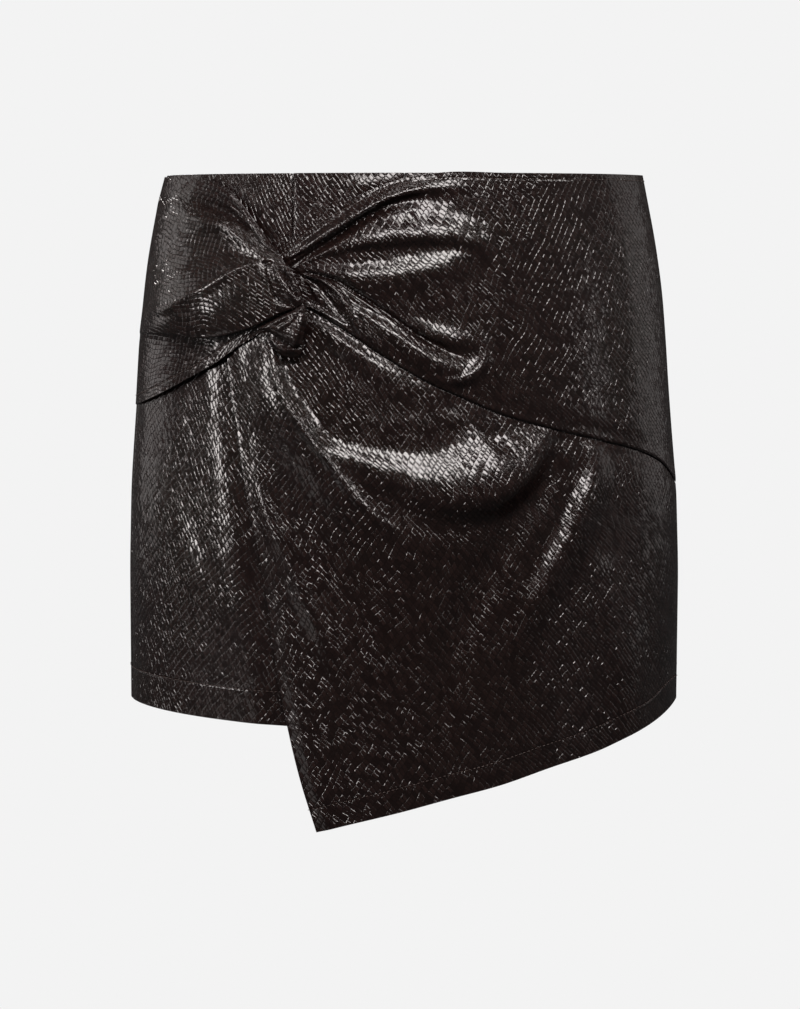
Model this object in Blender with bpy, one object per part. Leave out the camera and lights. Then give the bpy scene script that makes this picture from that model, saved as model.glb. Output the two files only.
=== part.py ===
"""Knotted skort: shorts under a wrapped, knotted front.

Worn shape with no wearer: a hollow, open at the waist and at both legs.
Sizes below are in millimetres. +Z is up, -Y is the front, +X is the wearer's
left, and the origin is the middle of the waist opening.
"""
import math

import bmesh
import bpy
import numpy as np
from mathutils import Matrix, Vector

# ---------------------------------------------------------------- driving sizes, mm

CLOTH = 1.2               # thickness of every cloth wall
SEAM_GAP = 0.5            # gap between sewn pieces outside, about 0.3 at their inner side
LAYER_GAP = 0.5           # gap between the shorts and the layer sewn over them
FLAT_HEIGHT = LAYER_GAP + CLOTH
SIDE_SEAM = 81.0          # degrees from centre front to each side seam
PRINCESS_X = 66.0         # front panel seam, from the centre line
CROTCH_START = 236.0      # depth below the waist where the centre seams turn under
CROTCH = 262.0            # depth of the crotch
SIDE_HEM = 322.0          # length of the side seam
FRONT_HEM = 327.0         # depth of the hem at centre front and centre back
LEG_TURN = 58.0           # distance from the centre line where a leg turns inwards
LEG_GAP = 5.5             # half the distance between the legs at the hem
MM = 0.001

# Rows of the shorts: depths above the turn, degrees of the round turn under, and
# steps down the leg. Then the steps across each panel, and round the turn.
UPPER_ROWS = (0, 20, 40, 70, 105, 145, 190, CROTCH_START)
TURN_ROWS = (25, 50, 72, 90)
LEG_ROWS = (CROTCH + 22, CROTCH + 44, FRONT_HEM)
FRONT_STEPS = 8
SIDE_FRONT_STEPS = 6
MIDDLE_FRONT_STEPS = 1
BACK_STEPS = 11
TURN_STEPS = 7
TURN_SHARPNESS = 3.0      # how soon a centre seam leaves the round of the figure

# The general figure that the garment is cut for, as ellipses. Each row is
# depth below the waist, right half width, left half width, front, back.
FIGURE = (
    (0, 146.0, 146.0, 98.0, 96.0),
    (20, 151.5, 150.0, 101.5, 102.0),
    (40, 156.0, 154.0, 104.0, 108.0),
    (70, 160.5, 158.5, 107.0, 115.0),
    (100, 163.0, 161.0, 109.5, 121.0),
    (130, 165.0, 163.0, 111.5, 126.0),
    (160, 167.3, 165.5, 113.0, 129.5),
    (190, 169.3, 168.3, 114.5, 131.0),
    (240, 170.5, 170.0, 116.5, 130.0),
    (326, 170.3, 169.6, 118.0, 126.0),
    (420, 169.5, 169.0, 119.0, 124.0),
)

# The wrapped front, seen from the front: x, z.
YOKE_TOP = ((-77, -46), (-70, -42), (-62, -34), (-44, -22), (-26, -13), (-9, -6),
            (6, -2), (21, 0), (60, 0), (105, 0), (146, 0))
WRAP_SEAM = ((-106, -100), (-94, -90), (-80, -85), (-68, -81), (-59, -79), (-50, -83),
             (-38, -90), (-14, -106), (15, -123), (33, -131), (56, -141), (86, -150),
             (116, -158), (142, -166), (155, -173), (167, -188))
WRAP_EDGE = ((-106, -100), (-103, -128), (-100, -146), (-95, -181), (-92, -196), (-86, -224),
             (-81, -253), (-77, -282), (-69, -327), (-62, -356), (-52, -388))
WRAP_HEM = ((-52, -388), (-38, -384), (-3, -375), (27, -367), (56, -360), (86, -351),
            (116, -343), (141, -334), (155, -329), (168, -321))
YOKE_START = 4            # the yoke's seam starts at this row of WRAP_SEAM
YOKE_GATHER = (-75, -60)  # the middle of its gathered end, under the sash
YOKE_CROWD = 1.35         # its columns lie closer together near the knot
YOKE_GRID = (19, 29)      # rows and columns
PANEL_GRID = (34, 31)
ROUND = 130.0             # mm round the figure for each radian, about

# Folds of the wrapped front. Each row is x, z, height, and the widths of the fold
# on its left and right as one walks along it. Valleys have negative heights.
FOLDS = {
    "cowl fold": (
        (-78, -100, 4, 10, 8), (-77, -113, 9, 14, 12), (-70, -134, 13, 22, 17),
        (-61, -146, 13, 25, 20), (-50, -163, 12, 26, 20), (-41, -174, 11, 26, 20),
        (-29, -190, 9, 26, 19), (-17, -201, 8, 24, 17), (-3, -210, 6.5, 20, 16),
        (15, -215, 5, 16, 14), (32, -214, 4, 14, 14), (45, -207, 3.5, 13, 13),
        (56, -192, 3, 11, 12), (63, -174, 2.5, 11, 12), (65, -160, 1, 10, 10)),
    "cowl belly": (
        (-41, -171, 2, 14, 8), (-20, -183, 5, 17, 9), (3, -191, 6, 19, 10),
        (27, -193, 6, 19, 10), (47, -186, 5, 15, 9), (59, -171, 2, 10, 8)),
    "upper hollow": (
        (-61, -125, -2, 10, 9), (-38, -136, -2, 12, 10), (-3, -142, -2, 14, 10),
        (27, -136, -2, 12, 10), (56, -145, -1, 10, 10)),
    "knot hollow": ((-72, -104, -3, 5, 5), (-62, -112, -3, 6, 6), (-50, -118, -1, 6, 6)),
    "side ridge": (
        (110, -166, 3, 10, 11), (111, -176, 5, 12, 13), (107, -193, 5, 14, 15),
        (98, -214, 4, 14, 15), (87, -234, 3.5, 15, 15), (77, -254, 3, 16, 16),
        (68, -274, 1.5, 16, 16)),
    "side hollow": (
        (92, -158, -2, 10, 10), (83, -181, -3, 12, 12), (71, -198, -3, 14, 14),
        (56, -221, -3, 15, 15), (44, -244, -3, 16, 16), (32, -267, -3, 17, 17),
        (25, -296, -2.5, 18, 18), (21, -330, -1, 18, 18)),
    "edge fold": (
        (-84, -193, 1, 8, 8), (-76, -207, 2, 9, 9), (-67, -224, 2.5, 10, 10),
        (-55, -250, 2.5, 11, 11), (-47, -268, 2, 11, 11), (-35, -290, 1, 11, 11)),
    "hem swell": ((123, -238, 1, 16, 16), (135, -300, 2.5, 20, 20), (141, -330, 2, 20, 20)),
    "seam fold": (
        (-54, -86, 4, 3, 4), (-41, -97, 4, 5, 5), (-26, -110, 3, 6, 6), (-8, -120, 1, 6, 6)),
    "seam hollow": ((-56, -93, -1, 3, 4), (-38, -110, -2, 5, 5), (-15, -127, -1, 7, 7)),
    "band fold": (
        (-64, -49, 1, 5, 5), (-50, -38, 3, 6, 6), (-35, -27, 4, 8, 7), (-20, -18, 4, 8, 7),
        (-3, -11, 3, 8, 6), (15, -7, 2, 8, 6), (33, -6, 0, 8, 6)),
    "first lobe": (
        (-57, -51, 2, 5, 5), (-44, -44, 4, 7, 6), (-26, -37, 6, 10, 8), (-3, -33, 7, 12, 10),
        (21, -27, 5, 13, 12), (40, -22, 0, 12, 12)),
    "second lobe": (
        (-56, -57, 2, 5, 5), (-35, -58, 6, 7, 7), (-3, -59, 8, 11, 11), (21, -53, 7, 13, 13),
        (42, -42, 0, 12, 12)),
    "deep crease": (
        (-56, -60, -1, 3, 3), (-35, -65, -4, 5, 5), (-20, -72, -6, 7, 6), (-3, -82, -6, 8, 7),
        (15, -94, -4, 9, 8), (34, -106, 0, 9, 9)),
    "third lobe": (
        (-55, -69, 3, 4, 4), (-32, -85, 8, 9, 8), (-3, -102, 9, 13, 10), (27, -116, 9, 16, 11),
        (46, -111, 5, 14, 12), (58, -95, 0, 12, 12)),
}

# How far the wrapped front stands off the shorts, away from its folds.
STAND_OFF = 3.2
HEM_STAND_OFF = 2.0       # added at the hem, over HEM_EASE from HEM_EASE_START
HEM_EASE_START = 240.0
HEM_EASE = 120.0
SIDE_EASE = 34.0          # width over which it comes down to the side seam
SEAM_EASE = 9.0           # and to the seam between yoke and panel
EDGE_EASE = 9.0           # and to the free edge
KNOT_EASE = 26.0          # and to the knot
KNOT_PLACE = (-62, -74)
SIDE_SHARE = 0.05         # the share of its height that is left at each of these
SEAM_SHARE = 0.12
EDGE_SHARE = 0.35
KNOT_SHARE = 0.25
SOFTNESS = 0.6            # rounds the foot of a fold, square mm

# The sash, as lines that run from the side seam to the knot. Each point is
# x, z, height over the shorts. The fold line hangs over the lines after it.
SASH_LINES = (
    ("top edge", ((-147, -1, 2.2), (-124, -1.5, 2.6), (-105, -9, 4.5), (-93, -22, 6.5),
                  (-84, -34, 8.5), (-79, -41, 9.5), (-75, -45, 8.5))),
    ("top hollow", ((-150, -12, 2.2), (-132, -14, 3), (-113, -20, 4.2), (-98, -30, 7.5),
                    (-87, -40, 10), (-79, -46, 11.5), (-73, -48, 9.5))),
    ("top ridge", ((-152, -24, 2.4), (-134, -25, 7.5), (-115, -29, 10), (-101, -36, 12),
                   (-89, -44, 13.5), (-79, -50, 14), (-71, -51, 11))),
    ("hollow", ((-157, -53, 2.2), (-138, -49, 6), (-118, -45, 8.5), (-103, -45, 11.5),
                (-90, -49, 13.5), (-79, -54, 14.5), (-69, -54, 11.5))),
    ("main ridge", ((-160, -82, 2.8), (-143, -78, 12), (-122, -68, 16), (-104, -57, 16.5),
                    (-90, -55, 16), (-78, -58, 15), (-66, -57.5, 12))),
    ("fold face", ((-161, -90, 3), (-142, -88, 13), (-120, -84, 17), (-104, -76, 17.5),
                   (-89, -71, 17), (-76, -68, 15), (-62, -66, 12.5))),
    ("fold edge", ((-162, -95, 2.8), (-142, -95, 12), (-120, -97, 16), (-103, -94, 16),
                   (-88, -89, 15.5), (-73, -81.5, 14), (-58.5, -76.5, 11.5))),
    ("under fold", ((-162, -98, 2.3), (-142, -94, 8), (-120, -95, 9.5), (-103, -92, 10),
                    (-88, -87, 10.5), (-73, -81, 10), (-60, -76.8, 8.8))),
    ("lower layer", ((-163, -107, 2), (-144, -104, 3.8), (-123, -104, 5), (-106, -99, 6.8),
                     (-91, -92, 8.4), (-77, -85, 8.8), (-67, -79.5, 8.4))),
    ("lower edge", ((-165, -140, 1.9), (-148, -132, 3.2), (-128, -121, 4), (-112, -112, 5.2),
                    (-98, -102, 6.8), (-85, -94, 8), (-76, -88, 8.2))),
)

SASH_GRID = (25, 17)      # rows and columns

# The end of the knot that shows below the sash: corners as x, z.
KNOT_CORNERS = ((-91, -92), (-83, -87.5), (-72, -82.5), (-57.5, -78), (-58.5, -92),
                (-62.5, -103.5), (-70, -104), (-77, -99), (-81, -94.5))
KNOT_HEIGHT = 13.2        # its middle surface, over the shorts
KNOT_THICK = 7.0
KNOT_AROUND = 20          # steps round it, and from its middle to its rim
KNOT_RINGS = 4

# The closure, a concealed zip at centre back: sizes across, along and out.
ZIP_TOP = 5.0             # depth of the tape's top below the waist
ZIP_END = 190.0           # depth of the tape's lower end
TAPE_WIDTH = 24.0
TAPE = 1.0                # thickness of the tape
TAPE_GAP = 0.4            # from the shorts' inner side
SLIDER_DEPTH = 9.0        # the slider's middle, below the waist
SLIDER_GAP = 0.4          # from the shorts' outer side
SLIDER_WIDTH = 5.2
SLIDER_LENGTH = 9.0
SLIDER_THICK = 1.6
SLIDER_CORNER = 1.2
BRIDGE_WIDTH = 1.6
BRIDGE_LENGTH = 7.0
BRIDGE_HEIGHT = 2.7
BRIDGE_STRAP = 0.8
BRIDGE_SHOULDER = 0.9
PULL_THICK = 0.9
PULL_BAR = 1.0            # the bar that turns in the bridge
PULL_NECK = 4.4           # width at the bar
PULL_WIDTH = 7.6          # width at the rounded end
PULL_LENGTH = 24.0
WINDOW_WIDTH = 2.2
WINDOW_LENGTH = 3.5
WINDOW_EDGE = 1.2         # metal below the window, before the pull widens
PIVOT_HEIGHT = 0.95       # the bar's middle, over the slider
PULL_LEAN = 3.0           # degrees that the hanging pull leans in to the cloth

# Colour in sRGB 0 to 1, roughness, metallic.
POLYURETHANE = ((0.16, 0.115, 0.105), 0.28, 0.0)
TAPE_POLYESTER = ((0.11, 0.085, 0.08), 0.85, 0.0)
ZIP_ENAMEL = ((0.13, 0.10, 0.095), 0.35, 0.6)


# ---------------------------------------------------------------- curves and the figure

def smooth_line(points, share):
    """Points at shares 0..1 of the length of a smooth curve through a table's rows."""
    rows = np.asarray(points, dtype=float)
    steps = np.hypot(*np.diff(rows[:, :2], axis=0).T)
    places = np.concatenate([[0.0], np.cumsum(steps)]) / steps.sum()
    slopes = np.empty_like(rows)
    runs = np.diff(rows, axis=0) / np.diff(places)[:, None]
    slopes[0], slopes[-1] = runs[0], runs[-1]
    weight = np.diff(places)[:, None]
    slopes[1:-1] = (runs[:-1] * weight[1:] + runs[1:] * weight[:-1]) / (weight[:-1] + weight[1:])
    share = np.clip(np.asarray(share, dtype=float), 0.0, 1.0)
    index = np.clip(np.searchsorted(places, share, side="right") - 1, 0, len(rows) - 2)
    span = (places[index + 1] - places[index])[..., None]
    t = (share - places[index])[..., None] / span
    return (rows[index] * (1 + 2 * t) * (1 - t) ** 2 + slopes[index] * span * t * (1 - t) ** 2
            + rows[index + 1] * t * t * (3 - 2 * t) - slopes[index + 1] * span * t * t * (1 - t))


def ease(value):
    """0 below 0, 1 above 1, and smooth between."""
    value = np.clip(value, 0.0, 1.0)
    return value * value * (3 - 2 * value)


DEPTHS = np.linspace(0.0, 420.0, 421)
FIGURE_ROWS = np.asarray(FIGURE)
FIGURE_SMOOTH = np.column_stack([
    np.convolve(np.pad(np.interp(DEPTHS, FIGURE_ROWS[:, 0], FIGURE_ROWS[:, column]), 12,
                       mode="reflect", reflect_type="odd"), np.full(25, 1 / 25), mode="valid")
    for column in range(1, 5)])


def figure(z):
    """Right half width, left half width, front depth and back depth at a height."""
    return [np.interp(-np.asarray(z, dtype=float), DEPTHS, FIGURE_SMOOTH[:, column])
            for column in range(4)]


def on_figure(angle, z, height=0.0):
    """A point over the figure: angle from centre front in radians, towards +X."""
    right, left, front, back = figure(z)
    half = np.where(np.sin(angle) < 0, right, left)
    depth = np.where(np.cos(angle) > 0, front, back)
    across, forward = np.sin(angle), np.cos(angle)
    normal_x, normal_y = across / half, forward / depth
    length = np.hypot(normal_x, normal_y)
    x = half * across + height * normal_x / length
    y = -depth * forward - height * normal_y / length
    return np.stack(np.broadcast_arrays(x, y, z), axis=-1)


def front_angle(x, z, height):
    """The angle of a raised point of the front, kept between the two side seams."""
    right, left, front, _ = figure(z)
    half = np.where(x < 0, right, left)
    limit = math.sin(math.radians(SIDE_SEAM))
    angle = np.arcsin(np.clip(x / half, -limit, limit))
    for _ in range(5):
        normal_x, normal_y = np.sin(angle) / half, np.cos(angle) / front
        aside = height * normal_x / np.hypot(normal_x, normal_y)
        angle = np.arcsin(np.clip((x - aside) / half, -limit, limit))
    return angle


def over_front(x, z, height):
    """Points of the front that are seen at x, z and lie at a height over the shorts."""
    return on_figure(front_angle(x, z, height), z, height)


def hem_depth(angle):
    """The shorts' hem is a little higher at the sides."""
    return SIDE_HEM + (FRONT_HEM - SIDE_HEM) * np.cos(angle) ** 2


# ---------------------------------------------------------------- meshes

def material(name, look):
    """A Principled material from sRGB colour, roughness and metallic."""
    colour, roughness, metallic = look
    made = bpy.data.materials.new(name)
    made.use_nodes = True
    shader = made.node_tree.nodes["Principled BSDF"]
    shader.inputs["Base Color"].default_value = (*(c ** 2.2 for c in colour), 1.0)
    shader.inputs["Roughness"].default_value = roughness
    shader.inputs["Metallic"].default_value = metallic
    return made


def new_object(name, verts, faces, look):
    """A named object whose mesh is given in millimetres."""
    mesh = bpy.data.meshes.new(name)
    mesh.from_pydata([tuple(float(c) * MM for c in vert) for vert in verts], [], faces)
    mesh.materials.append(material(name, look))
    made = bpy.data.objects.new(name, mesh)
    bpy.context.scene.collection.objects.link(made)
    return made


def grid_faces(rows, columns):
    """Faces of a grid stored row by row, wound so that u x v points outwards."""
    return [(r * columns + c, (r + 1) * columns + c, (r + 1) * columns + c + 1, r * columns + c + 1)
            for r in range(rows - 1) for c in range(columns - 1)]


def cloth(name, outer, look=POLYURETHANE, thickness=CLOTH):
    """A wall of cloth from a grid of points on its outer side.

    Rows run down the garment and columns run towards +X, seen from outside.
    The wall gets its thickness inwards.
    """
    rows, columns = outer.shape[:2]
    made = new_object(name, outer.reshape(-1, 3), grid_faces(rows, columns), look)
    wall = made.modifiers.new("Cloth thickness", "SOLIDIFY")
    wall.thickness = thickness * MM
    wall.offset = -1.0
    wall.use_even_offset = False
    made.data.shade_smooth()
    return made


# ---------------------------------------------------------------- the shorts

def shorts_heights():
    """Depths of the rows, closer together where the centre seams turn under."""
    turn = CROTCH_START + (CROTCH - CROTCH_START) * np.sin(np.radians(TURN_ROWS))
    return np.concatenate([UPPER_ROWS, turn, LEG_ROWS])


def under_turn(depth):
    """How far a centre seam has turned under, 0 above it and 1 at the crotch."""
    share = np.clip((depth - CROTCH_START) / (CROTCH - CROTCH_START), 0.0, 1.0)
    return 1.0 - np.sqrt(1.0 - share ** 2)


def leg_turn(depth, facing, steps):
    """Points from the round of the leg to the centre seam or inseam, for +X."""
    z = -depth
    _, left, front, back = figure(z)
    middle = front if facing == "front" else back
    sign = -1.0 if facing == "front" else 1.0
    gap = SEAM_GAP / 2 + LEG_GAP * np.clip((depth - CROTCH) / (FRONT_HEM - CROTCH), 0, 1)
    under = under_turn(depth)
    start_y = middle * math.sqrt(1 - (LEG_TURN / left) ** 2)
    end_y = middle * (1 - under) + SEAM_GAP / 2 * under
    t = np.linspace(0, 1, steps + 1)[1:]
    x_turn = LEG_TURN * (1 - t) ** 2 + gap * (1 - (1 - t) ** 2)
    y_turn = start_y * (1 - t) ** 2 + middle * 2 * t * (1 - t) + end_y * t ** 2
    x_round = LEG_TURN * (1 - t) + gap * t
    y_round = middle * np.sqrt(1 - (x_round / left) ** 2)
    turned = ease(under * TURN_SHARPNESS)
    x = x_round + (x_turn - x_round) * turned
    y = y_round + (y_turn - y_round) * turned
    return np.stack([x, sign * y, np.full(steps, z)], axis=-1)


def shorts_panel(name, side, facing, first, last, steps, turn_steps=0):
    """A panel of the shorts, from the angle first to last, given for the left side.

    A panel with turn_steps ends at the centre seam, which is the inseam below
    the crotch. A panel of the right side (-1) is the same cut, turned over.
    """
    rows = []
    for depth in shorts_heights():
        right, left, _, _ = figure(-depth)
        half = left if side > 0 else right
        start, stop = first(half), last(half)
        angles = np.linspace(start, stop, steps + 1)
        hem = hem_depth(angles)
        z = -np.minimum(depth, hem) if depth < FRONT_HEM else -hem
        row = on_figure(side * angles, z)
        if turn_steps:
            inner = leg_turn(depth, facing, turn_steps)
            inner[:, 0] *= side
            row = np.vstack([row, inner])
        rows.append(row)
    grid = np.array(rows)
    seen_rightwards = grid[0, -1, 0] > grid[0, 0, 0]
    if seen_rightwards != (facing == "front"):
        grid = grid[:, ::-1]
    return cloth(name, grid)


def make_shorts():
    """Front and back of both legs, the right front in two panels."""
    seam = math.radians(SIDE_SEAM)
    half_gap = SEAM_GAP / 2

    def at_side_front(half):
        return seam - half_gap / half

    def at_side_back(half):
        return seam + half_gap / half

    def at_princess_side(half):
        return math.asin((PRINCESS_X + half_gap) / half)

    def at_princess_centre(half):
        return math.asin((PRINCESS_X - half_gap) / half)

    def at_turn_front(half):
        return math.asin(LEG_TURN / half)

    def at_turn_back(half):
        return math.pi - math.asin(LEG_TURN / half)

    shorts_panel("shorts_front_side_right", -1, "front", at_side_front, at_princess_side,
                 SIDE_FRONT_STEPS)
    shorts_panel("shorts_front_right", -1, "front", at_princess_centre, at_turn_front,
                 MIDDLE_FRONT_STEPS, TURN_STEPS)
    shorts_panel("shorts_front_left", 1, "front", at_side_front, at_turn_front,
                 FRONT_STEPS, TURN_STEPS)
    shorts_panel("shorts_back_right", -1, "back", at_side_back, at_turn_back,
                 BACK_STEPS, TURN_STEPS)
    shorts_panel("shorts_back_left", 1, "back", at_side_back, at_turn_back,
                 BACK_STEPS, TURN_STEPS)


# ---------------------------------------------------------------- the wrapped front

def fold_height(x, z, rows):
    """Height that one fold adds at points of the front."""
    line = smooth_line(rows, np.linspace(0, 1, 12 * len(rows)))
    along = np.gradient(line[:, :2], axis=0)
    away_x = x[..., None] - line[:, 0]
    away_z = z[..., None] - line[:, 1]
    distance = np.hypot(away_x, away_z)
    nearest = distance.argmin(axis=-1)
    near = np.take_along_axis(distance, nearest[..., None], axis=-1)[..., 0]
    side_x = np.take_along_axis(away_x, nearest[..., None], axis=-1)[..., 0]
    side_z = np.take_along_axis(away_z, nearest[..., None], axis=-1)[..., 0]
    on_left = along[nearest, 0] * side_z - along[nearest, 1] * side_x > 0
    width = np.where(on_left, line[nearest, 3], line[nearest, 4])
    return line[nearest, 2] * (0.5 + 0.5 * np.cos(math.pi * np.clip(near / width, 0, 1)))


def distance_to(x, z, rows):
    """Distance from points of the front to a line."""
    line = smooth_line(rows, np.linspace(0, 1, 120))
    return np.hypot(x[..., None] - line[:, 0], z[..., None] - line[:, 1]).min(axis=-1)


def wrap_height(x, z):
    """Height of the wrapped front's outer side over the shorts."""
    _, left, _, _ = figure(z)
    to_side = left * math.sin(math.radians(SIDE_SEAM)) - x
    to_knot = np.hypot(x - KNOT_PLACE[0], z - KNOT_PLACE[1])
    to_seam = distance_to(x, z, WRAP_SEAM[YOKE_START:])
    to_edge = distance_to(x, z, WRAP_EDGE)
    to_hem = (-z - HEM_EASE_START) / HEM_EASE
    height = ((STAND_OFF + HEM_STAND_OFF * ease(to_hem))
              * (KNOT_SHARE + (1 - KNOT_SHARE) * ease(to_knot / KNOT_EASE - KNOT_SHARE)))
    for rows in FOLDS.values():
        height = height + fold_height(x, z, rows)
    height = height * ease(to_side / SIDE_EASE + SIDE_SHARE)
    height = height * (SEAM_SHARE + (1 - SEAM_SHARE) * ease(to_seam / SEAM_EASE))
    height = height * (EDGE_SHARE + (1 - EDGE_SHARE) * ease(to_edge / EDGE_EASE))
    return FLAT_HEIGHT + (height + np.sqrt(height ** 2 + SOFTNESS)) / 2


def patch(top, bottom, left, right, rows, columns, crowd=1.0):
    """A grid of points between four edges, row by row from the top.

    A crowd over 1 puts the columns closer together towards the left edge.
    """
    u = (np.linspace(0, 1, columns) ** crowd)[None, :, None]
    v = np.linspace(0, 1, rows)[:, None, None]
    edge_top = smooth_line(top, u[0, :, 0])[None]
    edge_bottom = smooth_line(bottom, u[0, :, 0])[None]
    edge_left = smooth_line(left, v[:, 0, 0])[:, None]
    edge_right = smooth_line(right, v[:, 0, 0])[:, None]
    corners = ((1 - u) * (1 - v) * edge_top[:, :1] + u * (1 - v) * edge_top[:, -1:]
               + (1 - u) * v * edge_bottom[:, :1] + u * v * edge_bottom[:, -1:])
    return ((1 - v) * edge_top + v * edge_bottom + (1 - u) * edge_left + u * edge_right) - corners


def unrolled(rows):
    """A table's x, z as distance round the figure and z."""
    x, z = np.asarray(rows, dtype=float).T
    return np.column_stack([front_angle(x, z, FLAT_HEIGHT) * ROUND, z])


def wrap_piece(name, flat):
    """A piece of the wrapped front from a grid of unrolled points."""
    angle, z = flat[..., 0] / ROUND, flat[..., 1]
    x = on_figure(angle, z, FLAT_HEIGHT)[..., 0]
    cloth(name, over_front(x, z, wrap_height(x, z)))


def make_wrap():
    """The yoke, gathered into the knot, and the draped panel sewn below it."""
    seam = unrolled(WRAP_SEAM)
    above = seam[YOKE_START - 1:] + (0, SEAM_GAP / 2)
    below = seam - (0, SEAM_GAP / 2)
    top, hem, free = unrolled(YOKE_TOP), unrolled(WRAP_HEM), unrolled(WRAP_EDGE)
    gathered = np.array([top[0], *unrolled([YOKE_GATHER]), above[0]])
    upper_side = np.array([top[-1], above[-1]])
    lower_side = np.array([below[-1], hem[-1]])
    free[0] = below[0]
    wrap_piece("wrap_yoke", patch(top, above, gathered, upper_side, *YOKE_GRID, YOKE_CROWD))
    wrap_piece("wrap_panel", patch(below, hem, free, lower_side, *PANEL_GRID))


# ---------------------------------------------------------------- the sash and the knot

def make_sash():
    """The sash, a loft across its lines from the side seam to the knot."""
    rows, columns = SASH_GRID
    along = np.linspace(0, 1, columns)
    lines = np.array([smooth_line(points, along) for _, points in SASH_LINES])
    across = np.linspace(0, len(SASH_LINES) - 1, rows)
    grid = np.array([cubic_between(lines, place) for place in across])
    x, z, height = grid[..., 0], grid[..., 1], grid[..., 2]
    cloth("sash", over_front(x, z, height))


def cubic_between(lines, place):
    """A line at a place between the rows of lines, on a smooth curve through them."""
    index = min(int(place), len(lines) - 2)
    t = place - index
    before = lines[max(index - 1, 0)]
    after = lines[min(index + 2, len(lines) - 1)]
    first, second = lines[index], lines[index + 1]
    return 0.5 * (2 * first + (second - before) * t
                  + (2 * before - 5 * first + 4 * second - after) * t * t
                  + (3 * first - before - 3 * second + after) * t ** 3)


def make_knot_loop():
    """The rounded end of the knot, a small pillow between sash and panel."""
    around, rings = KNOT_AROUND, KNOT_RINGS
    corners = np.array(KNOT_CORNERS + KNOT_CORNERS[:1], dtype=float)
    outline = smooth_line(corners, np.linspace(0, 1, around, endpoint=False))
    centre = outline.mean(axis=0)
    verts, faces = [], []

    def level(share, direction):
        flat = centre + (outline - centre) * math.sin(share * math.pi / 2)
        lift = direction * KNOT_THICK / 2 * math.cos(share * math.pi / 2)
        x, z = flat[:, 0], flat[:, 1]
        return over_front(x, z, np.full(around, KNOT_HEIGHT + lift))

    shares = [(ring / rings, 1) for ring in range(1, rings + 1)]
    shares += [(ring / rings, -1) for ring in range(rings - 1, 0, -1)]
    for direction in (1, -1):
        x, z = centre
        verts.append(over_front(x, z, KNOT_HEIGHT + direction * KNOT_THICK / 2))
    for share, direction in shares:
        verts.extend(level(share, direction))
    for number in range(around):
        after = (number + 1) % around
        faces.append((0, 2 + after, 2 + number))
        for ring in range(len(shares) - 1):
            low, high = 2 + ring * around, 2 + (ring + 1) * around
            faces.append((low + number, low + after, high + after, high + number))
        last = 2 + (len(shares) - 1) * around
        faces.append((1, last + number, last + after))
    made = new_object("knot_loop", np.array(verts), faces, POLYURETHANE)
    made.data.shade_smooth()
    return made


# ---------------------------------------------------------------- the zip

def make_zip_tape():
    """The zip's two tapes, closed, as one strip inside the centre back seam."""
    depths = [ZIP_TOP] + [d for d in shorts_heights() if ZIP_TOP < d <= ZIP_END]
    across = np.array([-1, -0.5, 0, 0.5, 1]) * TAPE_WIDTH / 2
    grid = []
    for depth in depths:
        _, half, _, _ = figure(-depth)
        grid.append(on_figure(math.pi + across / half, np.full(len(across), -depth),
                              -CLOTH - TAPE_GAP))
    cloth("zip_tape", np.array(grid), TAPE_POLYESTER, TAPE)


def zip_frame():
    """A matrix at the slider: local x across, y down along the cloth, z outwards."""
    depth = SLIDER_DEPTH
    above, middle, below = (on_figure(math.pi, -d, 0.0) for d in (depth - 4, depth, depth + 4))
    down = Vector(below - above).normalized()
    across = Vector((1.0, 0.0, 0.0))
    out = across.cross(down)
    frame = Matrix((across, down, out)).transposed().to_4x4()
    frame.translation = Vector(middle) * MM + out * (SLIDER_GAP + SLIDER_THICK) * MM
    return frame


def extruded(name, outline, low, high, axis, look):
    """A solid from an outline, drawn out between low and high along a local axis."""
    mesh = bpy.data.meshes.new(name)
    body = bmesh.new()
    place = {"x": lambda a, b, c: (c, a, b), "z": lambda a, b, c: (a, b, c)}[axis]
    verts = [body.verts.new([c * MM for c in place(a, b, low)]) for a, b in outline]
    face = body.faces.new(verts)
    drawn = bmesh.ops.extrude_face_region(body, geom=[face])
    step = [c * MM for c in place(0.0, 0.0, high - low)]
    moved = [item for item in drawn["geom"] if isinstance(item, bmesh.types.BMVert)]
    bmesh.ops.translate(body, vec=step, verts=moved)
    bmesh.ops.recalc_face_normals(body, faces=body.faces)
    body.to_mesh(mesh)
    body.free()
    mesh.materials.append(material(name, look))
    made = bpy.data.objects.new(name, mesh)
    bpy.context.scene.collection.objects.link(made)
    return made


def boolean(target, other, operation):
    """Joins another solid to a target, or cuts it out, and keeps it as a guide."""
    other.hide_render = True
    other.display_type = "WIRE"
    step = target.modifiers.new(other.name, "BOOLEAN")
    step.operation = operation
    step.object = other
    step.solver = "EXACT"


def rounded_box(width, length, cut):
    """An outline of a rectangle with its corners cut off."""
    w, h = width / 2, length / 2
    return [(-w + cut, -h), (w - cut, -h), (w, -h + cut), (w, h - cut),
            (w - cut, h), (-w + cut, h), (-w, h - cut), (-w, -h + cut)]


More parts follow.
